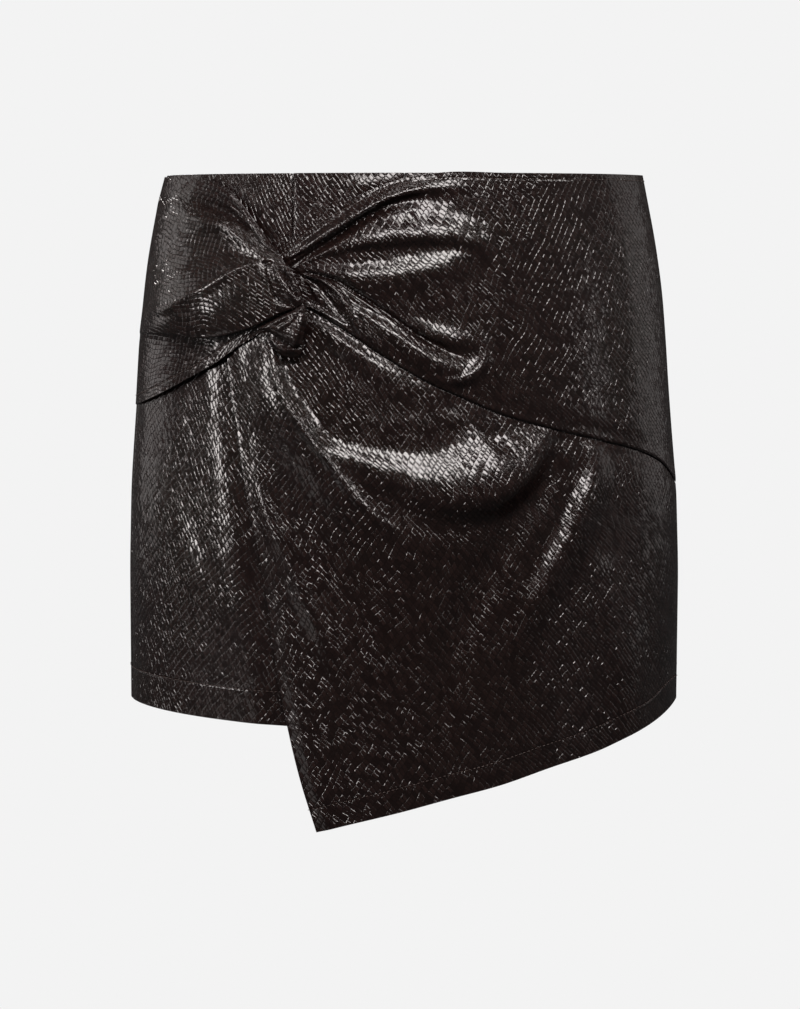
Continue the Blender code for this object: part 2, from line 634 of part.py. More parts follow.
def make_zip_slider():
    """The slider's body with the bridge that holds the pull."""
    frame = zip_frame()
    body = extruded("zip_slider", rounded_box(SLIDER_WIDTH, SLIDER_LENGTH, SLIDER_CORNER),
                    -SLIDER_THICK, 0.0, "z", ZIP_ENAMEL)
    half, top, strap = BRIDGE_LENGTH / 2, BRIDGE_HEIGHT, BRIDGE_STRAP
    root = -SLIDER_THICK / 4
    shoulder = BRIDGE_SHOULDER
    arch = [(-half, root), (-half, top - shoulder), (-half + shoulder, top),
            (half - shoulder, top), (half, top - shoulder), (half, root),
            (half - strap, root), (half - strap, top - shoulder - strap / 2),
            (half - shoulder - strap / 2, top - strap), (-half + shoulder + strap / 2, top - strap),
            (-half + strap, top - shoulder - strap / 2), (-half + strap, root)]
    bridge = extruded("zip_bridge_guide", arch, -BRIDGE_WIDTH / 2, BRIDGE_WIDTH / 2, "x",
                      ZIP_ENAMEL)
    boolean(body, bridge, "UNION")
    body.matrix_world = frame
    bridge.matrix_world = frame


def make_zip_pull():
    """The pull, a drop-shaped plate whose bar turns in the bridge."""
    neck, width, bar = PULL_NECK / 2, PULL_WIDTH / 2, PULL_BAR / 2
    end = PULL_LENGTH - bar - width
    shoulder = bar + WINDOW_LENGTH + WINDOW_EDGE
    outline = [(-neck, -bar), (neck, -bar), (neck, shoulder)]
    outline += [(width * math.cos(a), end + width * math.sin(a))
                for a in np.radians(np.linspace(0, 180, 13))]
    outline += [(-neck, shoulder)]
    pull = extruded("zip_pull", outline, -PULL_THICK / 2, PULL_THICK / 2, "z", ZIP_ENAMEL)
    hole = [(-WINDOW_WIDTH / 2, bar), (WINDOW_WIDTH / 2, bar),
            (WINDOW_WIDTH / 2, bar + WINDOW_LENGTH), (-WINDOW_WIDTH / 2, bar + WINDOW_LENGTH)]
    window = extruded("zip_window_guide", hole, -PULL_THICK, PULL_THICK, "z", ZIP_ENAMEL)
    boolean(pull, window, "DIFFERENCE")
    lean = Matrix.Rotation(math.radians(-PULL_LEAN), 4, "X")
    pivot = Matrix.Translation((0.0, 0.0, PIVOT_HEIGHT * MM))
    pull.matrix_world = zip_frame() @ pivot @ lean
    window.matrix_world = pull.matrix_world


# ---------------------------------------------------------------- run

for existing in list(bpy.data.objects):
    bpy.data.objects.remove(existing)

make_shorts()
make_wrap()
make_sash()
make_knot_loop()
make_zip_tape()
make_zip_slider()
make_zip_pull()
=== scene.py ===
"""Looks of the knotted skort.

The skort stands in its worn shape, a hollow with no wearer. Sizes in the tables are
in millimetres, +Z up, -Y the front and +X the wearer's left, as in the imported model.
"""
import math
from functools import partial

import bmesh
import bpy
import numpy as np
from mathutils import Matrix, Vector


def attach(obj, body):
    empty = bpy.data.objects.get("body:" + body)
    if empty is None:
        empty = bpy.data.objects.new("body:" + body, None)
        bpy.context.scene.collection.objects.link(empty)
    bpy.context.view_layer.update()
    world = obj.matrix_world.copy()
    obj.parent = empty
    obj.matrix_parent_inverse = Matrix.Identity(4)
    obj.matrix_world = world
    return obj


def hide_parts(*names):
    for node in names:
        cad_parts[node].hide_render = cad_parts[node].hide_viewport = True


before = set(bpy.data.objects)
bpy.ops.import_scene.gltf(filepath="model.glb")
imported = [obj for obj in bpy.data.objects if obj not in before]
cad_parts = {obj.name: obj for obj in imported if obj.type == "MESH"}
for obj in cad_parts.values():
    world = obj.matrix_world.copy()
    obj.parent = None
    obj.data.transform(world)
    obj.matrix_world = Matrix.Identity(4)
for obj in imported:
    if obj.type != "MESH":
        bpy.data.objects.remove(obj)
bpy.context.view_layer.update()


# ---------------------------------------------------------------- the shorts
# Five panels of polyurethane-coated cloth over the whole figure. They are sewn at the
# princess seam of the right front, the sides, the centre and the inseams, with their
# allowances pressed open inside, and the hems are turned up and topstitched.

MM = 0.001
CLOTH = 1.2               # thickness of the cloth
SEAM_GAP = 0.5            # between two panels, where a seam's edges roll under
SIDE_SEAM = math.radians(81.0)  # from centre front, round the figure
PRINCESS_X = 66.0         # from the centre line to the princess seam
CROTCH_START = 236.0      # depth below the waist where the centre seams turn under
CROTCH = 262.0
SIDE_HEM = 322.0          # depth of the hem at the side seams, and at the centre
FRONT_HEM = 327.0
LEG_TURN = 58.0           # from the centre line to where a leg turns inwards
LEG_GAP = 5.5             # half the distance between the legs at the hem
TURN_SHARPNESS = 3.0      # how soon a centre seam leaves the round of the figure
ROLL = 0.7                # how far a seam's edge rolls under, and over what width
ROLL_WIDTH = 2.2
EDGE_STEPS = (0.35, 0.9, 1.7)   # the mesh's steps at an edge
SHORTS_STEP = 2.4         # and elsewhere on the shorts
MEAN_HALF = 165.0         # half width of the figure, for the number of columns
HEM_STITCH = 20.0         # from the hem to its stitch line

# The figure: depth below the waist, right half width, left half width, front, back.
FIGURE = (
    (0, 146.0, 146.0, 98.0, 96.0),
    (20, 151.5, 150.0, 101.5, 102.0),
    (40, 156.0, 154.0, 104.0, 108.0),
    (70, 160.5, 158.5, 107.0, 115.0),
    (100, 163.0, 161.0, 109.5, 121.0),
    (130, 165.0, 163.0, 111.5, 126.0),
    (160, 167.3, 165.5, 113.0, 129.5),
    (190, 169.3, 168.3, 114.5, 131.0),
    (240, 170.5, 170.0, 116.5, 130.0),
    (326, 170.3, 169.6, 118.0, 126.0),
    (420, 169.5, 169.0, 119.0, 124.0),
)
DEPTHS = np.arange(421.0)
BLUR = 25                 # mm over which the table's corners are rounded


def smooth_line(points, share):
    """Points at shares 0..1 of the length of a smooth curve through a table's rows."""
    rows = np.asarray(points, dtype=float)
    steps = np.hypot(*np.diff(rows[:, :2], axis=0).T)
    places = np.concatenate([[0.0], np.cumsum(steps)]) / steps.sum()
    weight = np.diff(places)[:, None]
    runs = np.diff(rows, axis=0) / weight
    slopes = np.empty_like(rows)
    slopes[0], slopes[-1] = runs[0], runs[-1]
    slopes[1:-1] = (runs[:-1] * weight[1:] + runs[1:] * weight[:-1]) / (weight[:-1] + weight[1:])
    share = np.clip(np.asarray(share, dtype=float), 0.0, 1.0)
    index = np.clip(np.searchsorted(places, share, side="right") - 1, 0, len(rows) - 2)
    span = (places[index + 1] - places[index])[..., None]
    t = (share - places[index])[..., None] / span
    return (rows[index] * (1 + 2 * t) * (1 - t) ** 2 + slopes[index] * span * t * (1 - t) ** 2
            + rows[index + 1] * t * t * (3 - 2 * t) - slopes[index + 1] * span * t * t * (1 - t))


def ease(value):
    """0 below 0, 1 above 1, and smooth between."""
    value = np.clip(value, 0.0, 1.0)
    return value * value * (3 - 2 * value)


depths_given, *widths_given = np.array(FIGURE).T
FIGURE_SMOOTH = [
    np.convolve(np.pad(np.interp(DEPTHS, depths_given, column), BLUR // 2, mode="reflect",
                       reflect_type="odd"), np.full(BLUR, 1 / BLUR), mode="valid")
    for column in widths_given]


def figure(z):
    """Right half width, left half width, front depth and back depth at a height."""
    return [np.interp(-np.asarray(z, dtype=float), DEPTHS, column) for column in FIGURE_SMOOTH]


def on_figure(angle, z, height=0.0):
    """Points over the figure: angle from centre front in radians, towards +X."""
    right, left, front, back = figure(z)
    across, forward = np.sin(angle), np.cos(angle)
    half = np.where(across < 0, right, left)
    depth = np.where(forward > 0, front, back)
    normal_x, normal_y = across / half, forward / depth
    length = np.hypot(normal_x, normal_y)
    x = half * across + height * normal_x / length
    y = -depth * forward - height * normal_y / length
    return np.stack(np.broadcast_arrays(x, y, z), axis=-1)


def graded(length, step):
    """Shares of a length in even steps, with finer steps at both ends."""
    near = np.array((0.0,) + EDGE_STEPS)
    count = max(2, round((length - 2 * near[-1]) / step) + 1)
    middle = np.linspace(near[-1], length - near[-1], count)
    return np.concatenate([near[:-1], middle, length - near[-2::-1]]) / length


def rolled(distance):
    """How far a seam's edge lies under the cloth round it."""
    return -ROLL * (1 - np.clip(distance / ROLL_WIDTH, 0, 1)) ** 2


def outwards(grid):
    """Unit normals of a grid of points, out of the garment."""
    normal = np.cross(np.gradient(grid, axis=1), -np.gradient(grid, axis=0))
    normal = -normal if np.sum(normal * grid * (1, 1, 0)) < 0 else normal
    return normal / np.maximum(np.linalg.norm(normal, axis=-1, keepdims=True), 1e-9)


def measured(grid, axis):
    """Distances down the columns (axis 0) or along the rows (axis 1) of a grid."""
    steps = np.linalg.norm(np.diff(grid, axis=axis), axis=2)
    return np.pad(np.cumsum(steps, axis=axis), ((1 - axis, 0), (axis, 0)))


def nearest_on(x, z, rows):
    """For points of the cloth: the nearest place on a line, its row there, and the side."""
    line = smooth_line(rows, np.linspace(0, 1, 10 * len(rows)))
    x, z = np.asarray(x, dtype=float), np.asarray(z, dtype=float)
    index = np.hypot(x[..., None] - line[:, 0], z[..., None] - line[:, 1]).argmin(axis=-1)
    found = []
    for start in (np.clip(index - 1, 0, len(line) - 2), np.clip(index, 0, len(line) - 2)):
        first, step = line[start], line[start + 1] - line[start]
        away_x, away_z = x - first[..., 0], z - first[..., 1]
        size = step[..., 0] ** 2 + step[..., 1] ** 2
        t = np.clip((away_x * step[..., 0] + away_z * step[..., 1]) / size, 0, 1)
        distance = np.hypot(away_x - t * step[..., 0], away_z - t * step[..., 1])
        side = step[..., 0] * away_z - step[..., 1] * away_x
        found.append((distance, first + t[..., None] * step, side))
    (near, row, side), (after, row_after, side_after) = found
    closer = after < near
    return (np.where(closer, after, near), np.where(closer[..., None], row_after, row),
            np.where(closer, side_after, side))


def fold(x, z, rows):
    """Height that a fold adds. Its rows are x, z, height, and its widths left and right."""
    distance, row, side = nearest_on(x, z, rows)
    width = np.where(side > 0, row[..., 3], row[..., 4])
    return row[..., 2] * (0.5 + 0.5 * np.cos(math.pi * np.clip(distance / width, 0, 1)))


def folded(x, z, folds):
    """Height that a table of folds adds."""
    return sum(fold(x, z, rows) for rows in folds.values())


# The cloth: a warp-knitted base under a thin layer of polyurethane, which a roller
# embosses with small rhombic scales between two families of grooves. The layer is glossy
# and nearly black brown. Each scale is a flat that tilts its own way, so some mirror a
# lamp and others don't. Sizes are in mm.
GROOVES = ((3.7, 141.0), (2.5, 35.0))   # apart, and the direction across them
WALL = (0.04, 0.40)       # from a groove's middle to the foot and the top of its wall
DEPTH = (0.07, 0.42)      # of the grooves round one scale and another
PATCH = 9.0               # size of the patches with deeper and with shallower grooves
WANDER = ((30.0, 9.0), (5.0, 0.8))      # sizes over which the grooves stray, and how far
LEAN = 0.34               # sets how far a scale may lean its own way
DOME = 0.19               # sets how domed a scale is
SWELL = (0.25, 14.0)      # height and size of the soft unevenness under the scales
SEWN_GROOVE = 0.13        # pulled into the cloth by a topstitch's thread


def linear(colour):
    """An sRGB hex colour as linear RGBA."""
    parts = [int(colour[i:i + 2], 16) / 255 for i in (1, 3, 5)]
    return (*(c / 12.92 if c <= 0.04045 else ((c + 0.055) / 1.055) ** 2.4 for c in parts), 1.0)


def connect(tree, node, inputs):
    """Give a node's inputs their values, or links from other nodes' outputs."""
    for socket, value in inputs.items():
        if isinstance(value, bpy.types.NodeSocket):
            tree.links.new(value, node.inputs[socket])
        else:
            node.inputs[socket].default_value = value


def add_node(tree, kind, inputs=None, output=0, **settings):
    """One output of a new node, which gets its settings and its inputs."""
    made = tree.nodes.new(kind)
    for name, value in settings.items():
        setattr(made, name, value)
    connect(tree, made, inputs or {})
    return made.outputs[output] if len(made.outputs) else None


def material(looks):
    """A material named for the finish that looks gives its Principled shader."""
    made = bpy.data.materials.new(looks.__name__)
    made.use_nodes = True
    tree = made.node_tree
    connect(tree, tree.nodes["Principled BSDF"], looks(partial(add_node, tree)))
    return made


def embossed_polyurethane(node):
    """Glossy embossed coating. It reads the cloth's own UV map, whose unit is 1 mm."""
    flat = place = node("ShaderNodeUVMap", uv_map="Cloth")
    for size, shift in WANDER:
        noise = node("ShaderNodeTexNoise", {"Vector": flat, "Scale": 1 / size, "Detail": 1.0},
                     "Color")
        centred = node("ShaderNodeVectorMath", {0: noise, 1: (0.5, 0.5, 0.5)}, operation="SUBTRACT")
        place = node("ShaderNodeVectorMath", {0: centred, 1: (shift, shift, 0.0), 2: place},
                     operation="MULTIPLY_ADD")
    counts, plateaus = {}, {}
    for number, (gap, turn) in enumerate(GROOVES):
        angle = math.radians(turn)
        across = (math.cos(angle) / gap, math.sin(angle) / gap, 0.0)
        count = node("ShaderNodeVectorMath", {0: place, 1: across}, "Value",
                     operation="DOT_PRODUCT")
        away = node("ShaderNodeMath", {0: count, 1: 0.5}, operation="PINGPONG")
        counts[number] = count
        plateaus[number] = node("ShaderNodeMapRange", {"Value": away, "From Min": WALL[0] / gap,
                                                       "From Max": WALL[1] / gap})
    scale = node("ShaderNodeMath", plateaus, operation="MULTIPLY")
    counted = node("ShaderNodeCombineXYZ", counts)
    cell = node("ShaderNodeVectorMath", {0: counted}, operation="FLOOR")
    chance = node("ShaderNodeTexWhiteNoise", {"Vector": cell})
    within = node("ShaderNodeVectorMath", {0: counted}, operation="FRACTION")
    within = node("ShaderNodeVectorMath", {0: within, 1: (0.5, 0.5, 0.0)}, operation="SUBTRACT")
    own_way = node("ShaderNodeVectorMath", {0: chance.node.outputs["Color"], 1: (0.5, 0.5, 0.5)},
                   operation="SUBTRACT")
    lean, dome = (node("ShaderNodeVectorMath", {0: within, 1: other}, "Value",
                       operation="DOT_PRODUCT") for other in (own_way, within))
    patchy, swell = (node("ShaderNodeTexNoise", {"Vector": flat, "Scale": 1 / size, "Detail": 1.0})
                     for size in (PATCH, SWELL[1]))
    deep = node("ShaderNodeMapRange", {"Value": patchy, "From Min": 0.35, "From Max": 0.65,
                                       "To Min": 0.35})
    depth = node("ShaderNodeMath", {0: chance, 1: deep}, operation="MULTIPLY")
    stitch = node("ShaderNodeAttribute", output="Fac", attribute_name="stitch_distance")
    stitch = node("ShaderNodeMath", {0: stitch}, operation="ABSOLUTE")
    sewn = node("ShaderNodeMapRange", {"Value": stitch, "From Min": 0.1, "From Max": 1.3},
                interpolation_type="SMOOTHSTEP")
    height = DEPTH[0]
    for part, factor in ((depth, DEPTH[1] - DEPTH[0]), (lean, LEAN), (dome, -DOME)):
        height = node("ShaderNodeMath", {0: part, 1: factor, 2: height}, operation="MULTIPLY_ADD")
    height = node("ShaderNodeMath", {0: scale, 1: height}, operation="MULTIPLY")
    for part, factor in ((sewn, SEWN_GROOVE), (swell, SWELL[0])):
        height = node("ShaderNodeMath", {0: part, 1: factor, 2: height}, operation="MULTIPLY_ADD")
    # Colour: each scale takes its own random brown, and the grooves between scales are painted
    # darker, as painted shade in the recesses.
    cell_tone_and_groove_shade = node("ShaderNodeMath", {0: scale, 1: chance}, operation="MULTIPLY")
    return {
        "Normal": node("ShaderNodeBump", {"Height": height, "Distance": MM}),
        "Base Color": node("ShaderNodeMix", {"Factor": cell_tone_and_groove_shade, 6: linear("#130c0b"),
                                             7: linear("#211614")}, 2, data_type="RGBA"),
        "Roughness": node("ShaderNodeMapRange", {"Value": chance, "To Min": 0.13, "To Max": 0.2}),
        "IOR": 1.5}


# The same cloth's inner side: its matt knitted base, dyed brown. Its wales are about
# 0.9 mm apart, drawn a little coarser than real ones so that they show.
WALE = 0.9
ONE_WAVE = 0.314          # a wave texture's scale for one wave in each unit


def knitted_backing(node):
    """Matt brown knit, with wales that run down the cloth."""
    flat = node("ShaderNodeUVMap", uv_map="Cloth")
    wale = node("ShaderNodeTexWave", {"Vector": flat, "Scale": ONE_WAVE / WALE, "Distortion": 1.5,
                                      "Detail": 1.0}, "Fac")
    fibre = node("ShaderNodeTexNoise", {"Vector": flat, "Scale": 1.6, "Detail": 3.0})
    height = node("ShaderNodeMath", {0: fibre, 1: 0.5, 2: wale}, operation="MULTIPLY_ADD")
    return {
        "Normal": node("ShaderNodeBump", {"Height": height, "Distance": 0.12 * MM}),
        "Base Color": node("ShaderNodeMix", {"Factor": fibre, 6: linear("#2b211d"),
                                             7: linear("#3d302a")}, 2, data_type="RGBA"),
        "Roughness": 0.9, "Specular IOR Level": 0.25}


COATING = material(embossed_polyurethane)
BACKING = material(knitted_backing)
NO_STITCH = 50.0          # mm, far from any stitch line


def new_object(name, data):
    """A new object in the scene."""
    made = bpy.data.objects.new(name, data)
    bpy.context.scene.collection.objects.link(made)
    return made


def plain_mesh(made):
    """The object with its modifiers worked in."""
    evaluated = made.evaluated_get(bpy.context.evaluated_depsgraph_get())
    mesh = bpy.data.meshes.new_from_object(evaluated)
    made.modifiers.clear()
    made.data = mesh
    mesh.name = made.name
    return made


def mark_stitches(mesh, distance):
    """Keep each point's distance from the stitch line, which the coating reads."""
    marks = mesh.attributes.new("stitch_distance", "FLOAT", "POINT")
    marks.data.foreach_set("value", np.full(len(mesh.vertices), distance, dtype=np.float32))


def cloth(name, outer, grain=0.0, stitch=NO_STITCH, anchor=0, thickness=CLOTH,
          looks=(COATING, BACKING)):
    """A wall of cloth from a grid of points on its outer side.

    Rows run down the garment and columns to the right, seen from outside. The UV map is
    the flat cloth in mm, from the column anchor, and grain turns its scales, in degrees.
    """
    corner = np.arange(outer[..., 0].size).reshape(outer.shape[:2])
    faces = np.stack([corner[:-1, :-1], corner[1:, :-1], corner[1:, 1:], corner[:-1, 1:]], axis=-1)
    mesh = bpy.data.meshes.new(name)
    mesh.from_pydata((outer.reshape(-1, 3) * MM).tolist(), [], faces.reshape(-1, 4).tolist())
    u = measured(outer, 1)
    u = u - u[:, anchor][:, None]
    v = outer[:1, :, 2] - measured(outer, 0)
    turn = math.radians(grain)
    flat = np.stack([u * math.cos(turn) + v * math.sin(turn),
                     v * math.cos(turn) - u * math.sin(turn)], axis=-1).reshape(-1, 2)
    loops = np.empty(len(mesh.loops), dtype=np.int32)
    mesh.loops.foreach_get("vertex_index", loops)
    mesh.uv_layers.new(name="Cloth").data.foreach_set("uv", flat[loops].astype(np.float32).ravel())
    mark_stitches(mesh, np.ravel(stitch))
    for look in looks:
        mesh.materials.append(look)
    made = new_object(name, mesh)
    wall = made.modifiers.new("Cloth thickness", "SOLIDIFY")
    wall.thickness = thickness * MM
    wall.offset = -1.0
    wall.material_offset = 1
    turned_edge = made.modifiers.new("Turned edges", "BEVEL")
    turned_edge.width = thickness * 0.35 * MM
    turned_edge.segments = 2
    turned_edge.limit_method = "ANGLE"
    turned_edge.angle_limit = math.radians(55)
    mesh.shade_smooth()
    return plain_mesh(made)


def on_skort(*pieces, slot="embossed_polyurethane"):
    """The pieces move with the skort's body; slot is not used."""
    for piece in pieces:
        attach(piece, "skort")


# Topstitching: a matched polyester thread, one small float on the cloth for each stitch.
STITCH_PITCH = 2.6
STITCH_LENGTH = 1.9
THREAD = 0.5
SUNK = 0.2                # how deep the thread lies in the cloth, as a share of itself


def sewing_thread(node):
    """Twisted polyester thread, a little glossy, dyed to match."""
    where = node("ShaderNodeTexCoord", output="Object")
    twist = node("ShaderNodeTexNoise", {"Vector": where, "Scale": 2500.0})
    return {"Base Color": node("ShaderNodeMix", {"Factor": twist, 6: linear("#2a201d"),
                                                 7: linear("#4a3c37")}, 2, data_type="RGBA"),
            "Roughness": 0.5}


def row_tree():
    """Geometry Nodes: small rounded floats in a row, along a path that knows its outward side."""
    tree = bpy.data.node_groups.new("Row of floats", "GeometryNodeTree")
    tree.interface.new_socket("Geometry", in_out="OUTPUT", socket_type="NodeSocketGeometry")
    for name, kind in (("Path", "Geometry"), ("Pitch", "Float"), ("Length", "Float"),
                       ("Width", "Float"), ("Thickness", "Float"), ("Material", "Material")):
        tree.interface.new_socket(name, in_out="INPUT", socket_type="NodeSocket" + kind)
    node = partial(add_node, tree)
    given = node("NodeGroupInput").node.outputs
    curve = node("GeometryNodeMeshToCurve", {"Mesh": given["Path"]})
    spaced = node("GeometryNodeResampleCurve", {"Curve": curve, "Length": given["Pitch"]},
                  mode="LENGTH")
    outward = node("GeometryNodeInputNamedAttribute", {"Name": "outward"}, "Attribute",
                   data_type="FLOAT_VECTOR")
    lying = node("FunctionNodeAlignRotationToVector",
                 {"Vector": node("GeometryNodeInputTangent")}, axis="X")
    facing = node("FunctionNodeAlignRotationToVector", {"Rotation": lying, "Vector": outward},
                  axis="Z", pivot_axis="X")
    ball = node("GeometryNodeMeshUVSphere", {"Segments": 6, "Rings": 5, "Radius": 0.5})
    size = node("ShaderNodeCombineXYZ", {0: given["Length"], 1: given["Width"],
                                         2: given["Thickness"]})
    one = node("GeometryNodeTransform", {"Geometry": ball, "Scale": size})
    placed = node("GeometryNodeInstanceOnPoints", {"Points": spaced, "Instance": one,
                                                   "Rotation": facing})
    real = node("GeometryNodeRealizeInstances", {"Geometry": placed})
    smooth = node("GeometryNodeSetShadeSmooth", {"Geometry": real})
    looks = node("GeometryNodeSetMaterial", {"Geometry": smooth, "Material": given["Material"]})
    node("NodeGroupOutput", {0: looks})
    return tree


THREAD_LOOK = material(sewing_thread)
ROW = row_tree()


def rounded_row(name, paths, gap, size, look):
    """A row of floats along each path, given as points and outward sides, as one mesh."""
    verts, edges, sides = [], [], []
    for points, outward in paths:
        start = len(verts)
        verts += [tuple(point * MM) for point in points]
        edges += [(start + i, start + i + 1) for i in range(len(points) - 1)]
        sides += [tuple(side) for side in outward]
    mesh = bpy.data.meshes.new(name)
    mesh.from_pydata(verts, edges, [])
    mesh.attributes.new("outward", "FLOAT_VECTOR", "POINT").data.foreach_set(
        "vector", np.array(sides, dtype=np.float32).ravel())
    made = new_object(name, mesh)
    row = made.modifiers.new("Row of floats", "NODES")
    row.node_group = ROW
    values = {"Pitch": gap * MM, "Length": size[0] * MM, "Width": size[1] * MM,
              "Thickness": size[2] * MM, "Material": look}
    for socket in ROW.interface.items_tree:
        if socket.name in values:
            row[socket.identifier] = values[socket.name]
    return plain_mesh(made)


def topstitch(name, paths):
    """Stitches along paths on the cloth, a little sunk into it."""
    raised = [(points + outward * THREAD * (0.5 - SUNK), outward) for points, outward in paths]
    return rounded_row(name, raised, STITCH_PITCH, (STITCH_LENGTH, THREAD, THREAD), THREAD_LOOK)


def line_at(grid, normals, marks, value):
    """The line on a grid where marks, which grow down its columns, pass a value."""
    points, sides = [], []
    for column in range(grid.shape[1]):
        mark = marks[:, column] - value
        crossing = np.nonzero((mark[:-1] < 0) != (mark[1:] < 0))[0]
        if len(crossing):
            row = crossing[0]
            t = mark[row] / (mark[row] - mark[row + 1])
            points.append(grid[row, column] * (1 - t) + grid[row + 1, column] * t)
            sides.append(normals[row, column])
    return np.array(points), np.array(sides)


# Soft folds of the shorts: x, z, height, and the widths on the left and on the right for
# one who walks along the fold, with x and z as the front shows them. None lies under the
# wrapped front.
FRONT_FOLDS = {
    "thigh ridge": ((-117, -96, 0.6, 11, 11), (-115, -117, 1.1, 13, 13), (-112, -148, 1.3, 13, 15),
        (-108, -176, 1.7, 14, 20), (-102, -206, 2.3, 14, 25), (-98, -246, 2.4, 14, 26),
        (-90, -282, 2, 14, 26), (-86, -322, 1.4, 14, 26)),
    "pinched corner": ((-80, -36, 0.3, 1.2, 1.5), (-79, -41, 1, 1.4, 2), (-76.5, -45, 1.6, 2, 2),
        (-73, -43, 1.5, 2, 1.2), (-70.5, -41, 1.2, 2, 1.2), (-70.3, -38, 0.5, 1.4, 1.2)),
    "side drag": ((-150, -178, 0.3, 10, 10), (-138, -205, 0.8, 12, 12), (-126, -240, 0.6, 12, 12)),
}
WAIST_FOLDS = {
    "band swell": ((-64, -33, 0.3, 5, 3), (-57, -30, 1, 7, 3), (-49, -25.5, 0.9, 7, 3),
        (-40, -20, 0.2, 5, 3)),
    "waist ripple": ((-36, -7, 0.2, 5, 4), (-24, -7, 0.6, 6, 5), (-13, -6.5, 0.6, 6, 5),
        (-3, -5, 0.2, 5, 4)),
}
BACK_FOLDS = {
    "right seat": ((-96, -60, 0.5, 20, 20), (-84, -105, 1.8, 24, 24), (-80, -150, 1.6, 26, 24),
        (-84, -196, 0.6, 22, 22)),
    "left seat": ((92, -64, 0.5, 20, 20), (82, -110, 1.7, 24, 24), (84, -158, 1.5, 24, 26),
        (90, -200, 0.5, 22, 22)),
    "right under": ((-24, -234, -0.5, 9, 10), (-50, -228, -1.1, 12, 14), (-78, -226, -0.9, 13, 15),
        (-104, -230, -0.2, 13, 13)),
    "left under": ((26, -238, -0.5, 9, 10), (56, -232, -1, 12, 14), (84, -229, -0.7, 13, 15),
        (106, -233, -0.2, 13, 13)),
    "right leg": ((-70, -246, 0.4, 12, 12), (-78, -280, 1.3, 15, 15), (-76, -324, 1.2, 16, 16)),
    "left leg": ((84, -240, 0.4, 12, 12), (90, -276, 1.1, 15, 14), (96, -323, 1.3, 16, 15)),
    "left drag": ((140, -150, 0.3, 10, 10), (126, -182, 0.8, 12, 11), (106, -210, 0.3, 10, 10)),
}


def shorts_rows():
    """Depths of the mesh's rows, closer together at both edges and in the turn under."""
    top = np.array((0.0,) + EDGE_STEPS)
    bottom = FRONT_HEM - top[::-1]
    upper = np.arange(top[-1], CROTCH_START, SHORTS_STEP)[1:]
    turn = CROTCH_START + (CROTCH - CROTCH_START) * np.sin(np.radians(np.linspace(0, 90, 17)))
    lower = np.arange(CROTCH, bottom[0], SHORTS_STEP)[1:-1]
    return np.concatenate([top, upper, turn, lower, bottom])


ROW_DEPTHS = shorts_rows()
TURN_COLUMNS = np.linspace(0, 1, 27)[1:]


def leg_turn(depth, facing):
    """Points from the round of the left leg to the centre seam, or below it the inseam."""
    _, left, front, back = figure(-depth)
    middle = front if facing == "front" else back
    gap = SEAM_GAP / 2 + LEG_GAP * np.clip((depth - CROTCH) / (FRONT_HEM - CROTCH), 0, 1)
    under = 1 - math.sqrt(1 - np.clip((depth - CROTCH_START) / (CROTCH - CROTCH_START), 0, 1) ** 2)
    start_y = middle * math.sqrt(1 - (LEG_TURN / left) ** 2)
    end_y = middle * (1 - under) + SEAM_GAP / 2 * under
    t = TURN_COLUMNS
    x_turn = LEG_TURN * (1 - t) ** 2 + gap * (1 - (1 - t) ** 2)
    y_turn = start_y * (1 - t) ** 2 + middle * 2 * t * (1 - t) + end_y * t ** 2
    x_round = LEG_TURN * (1 - t) + gap * t
    y_round = middle * np.sqrt(1 - (x_round / left) ** 2)
    turned = ease(under * TURN_SHARPNESS)
    x = x_round + (x_turn - x_round) * turned
    y = y_round + (y_turn - y_round) * turned
    return np.stack([x, (-y if facing == "front" else y), np.full(len(t), -depth)], axis=-1)


def shorts_grid(side, facing, first, last):
    """Points of a panel from one edge to the next, on the shorts' outer side.

    An edge is named, or it is a distance from the centre line. A panel that ends where
    the leg turns inwards goes on to the centre seam and the inseam.
    """
    def angle(edge, half):
        if edge == "side seam":
            return SIDE_SEAM + (-1 if facing == "front" else 1) * SEAM_GAP / 2 / half
        from_front = math.asin(edge / half)
        return from_front if facing == "front" else math.pi - from_front

    width = MEAN_HALF * abs(angle(last, MEAN_HALF) - angle(first, MEAN_HALF))
    shares = graded(width, SHORTS_STEP)
    rows = []
    for depth in ROW_DEPTHS:
        right, left, _, _ = figure(-depth)
        half = left if side > 0 else right
        angles = angle(first, half) + (angle(last, half) - angle(first, half)) * shares
        hem = SIDE_HEM + (FRONT_HEM - SIDE_HEM) * np.cos(angles) ** 2
        row = on_figure(side * angles, -depth * hem / FRONT_HEM)
        if last == LEG_TURN:
            row = np.vstack([row, leg_turn(depth, facing) * (side, 1, 1)])
        rows.append(row)
    grid = np.array(rows)
    return grid[:, ::-1] if (grid[0, -1, 0] > grid[0, 0, 0]) != (facing == "front") else grid


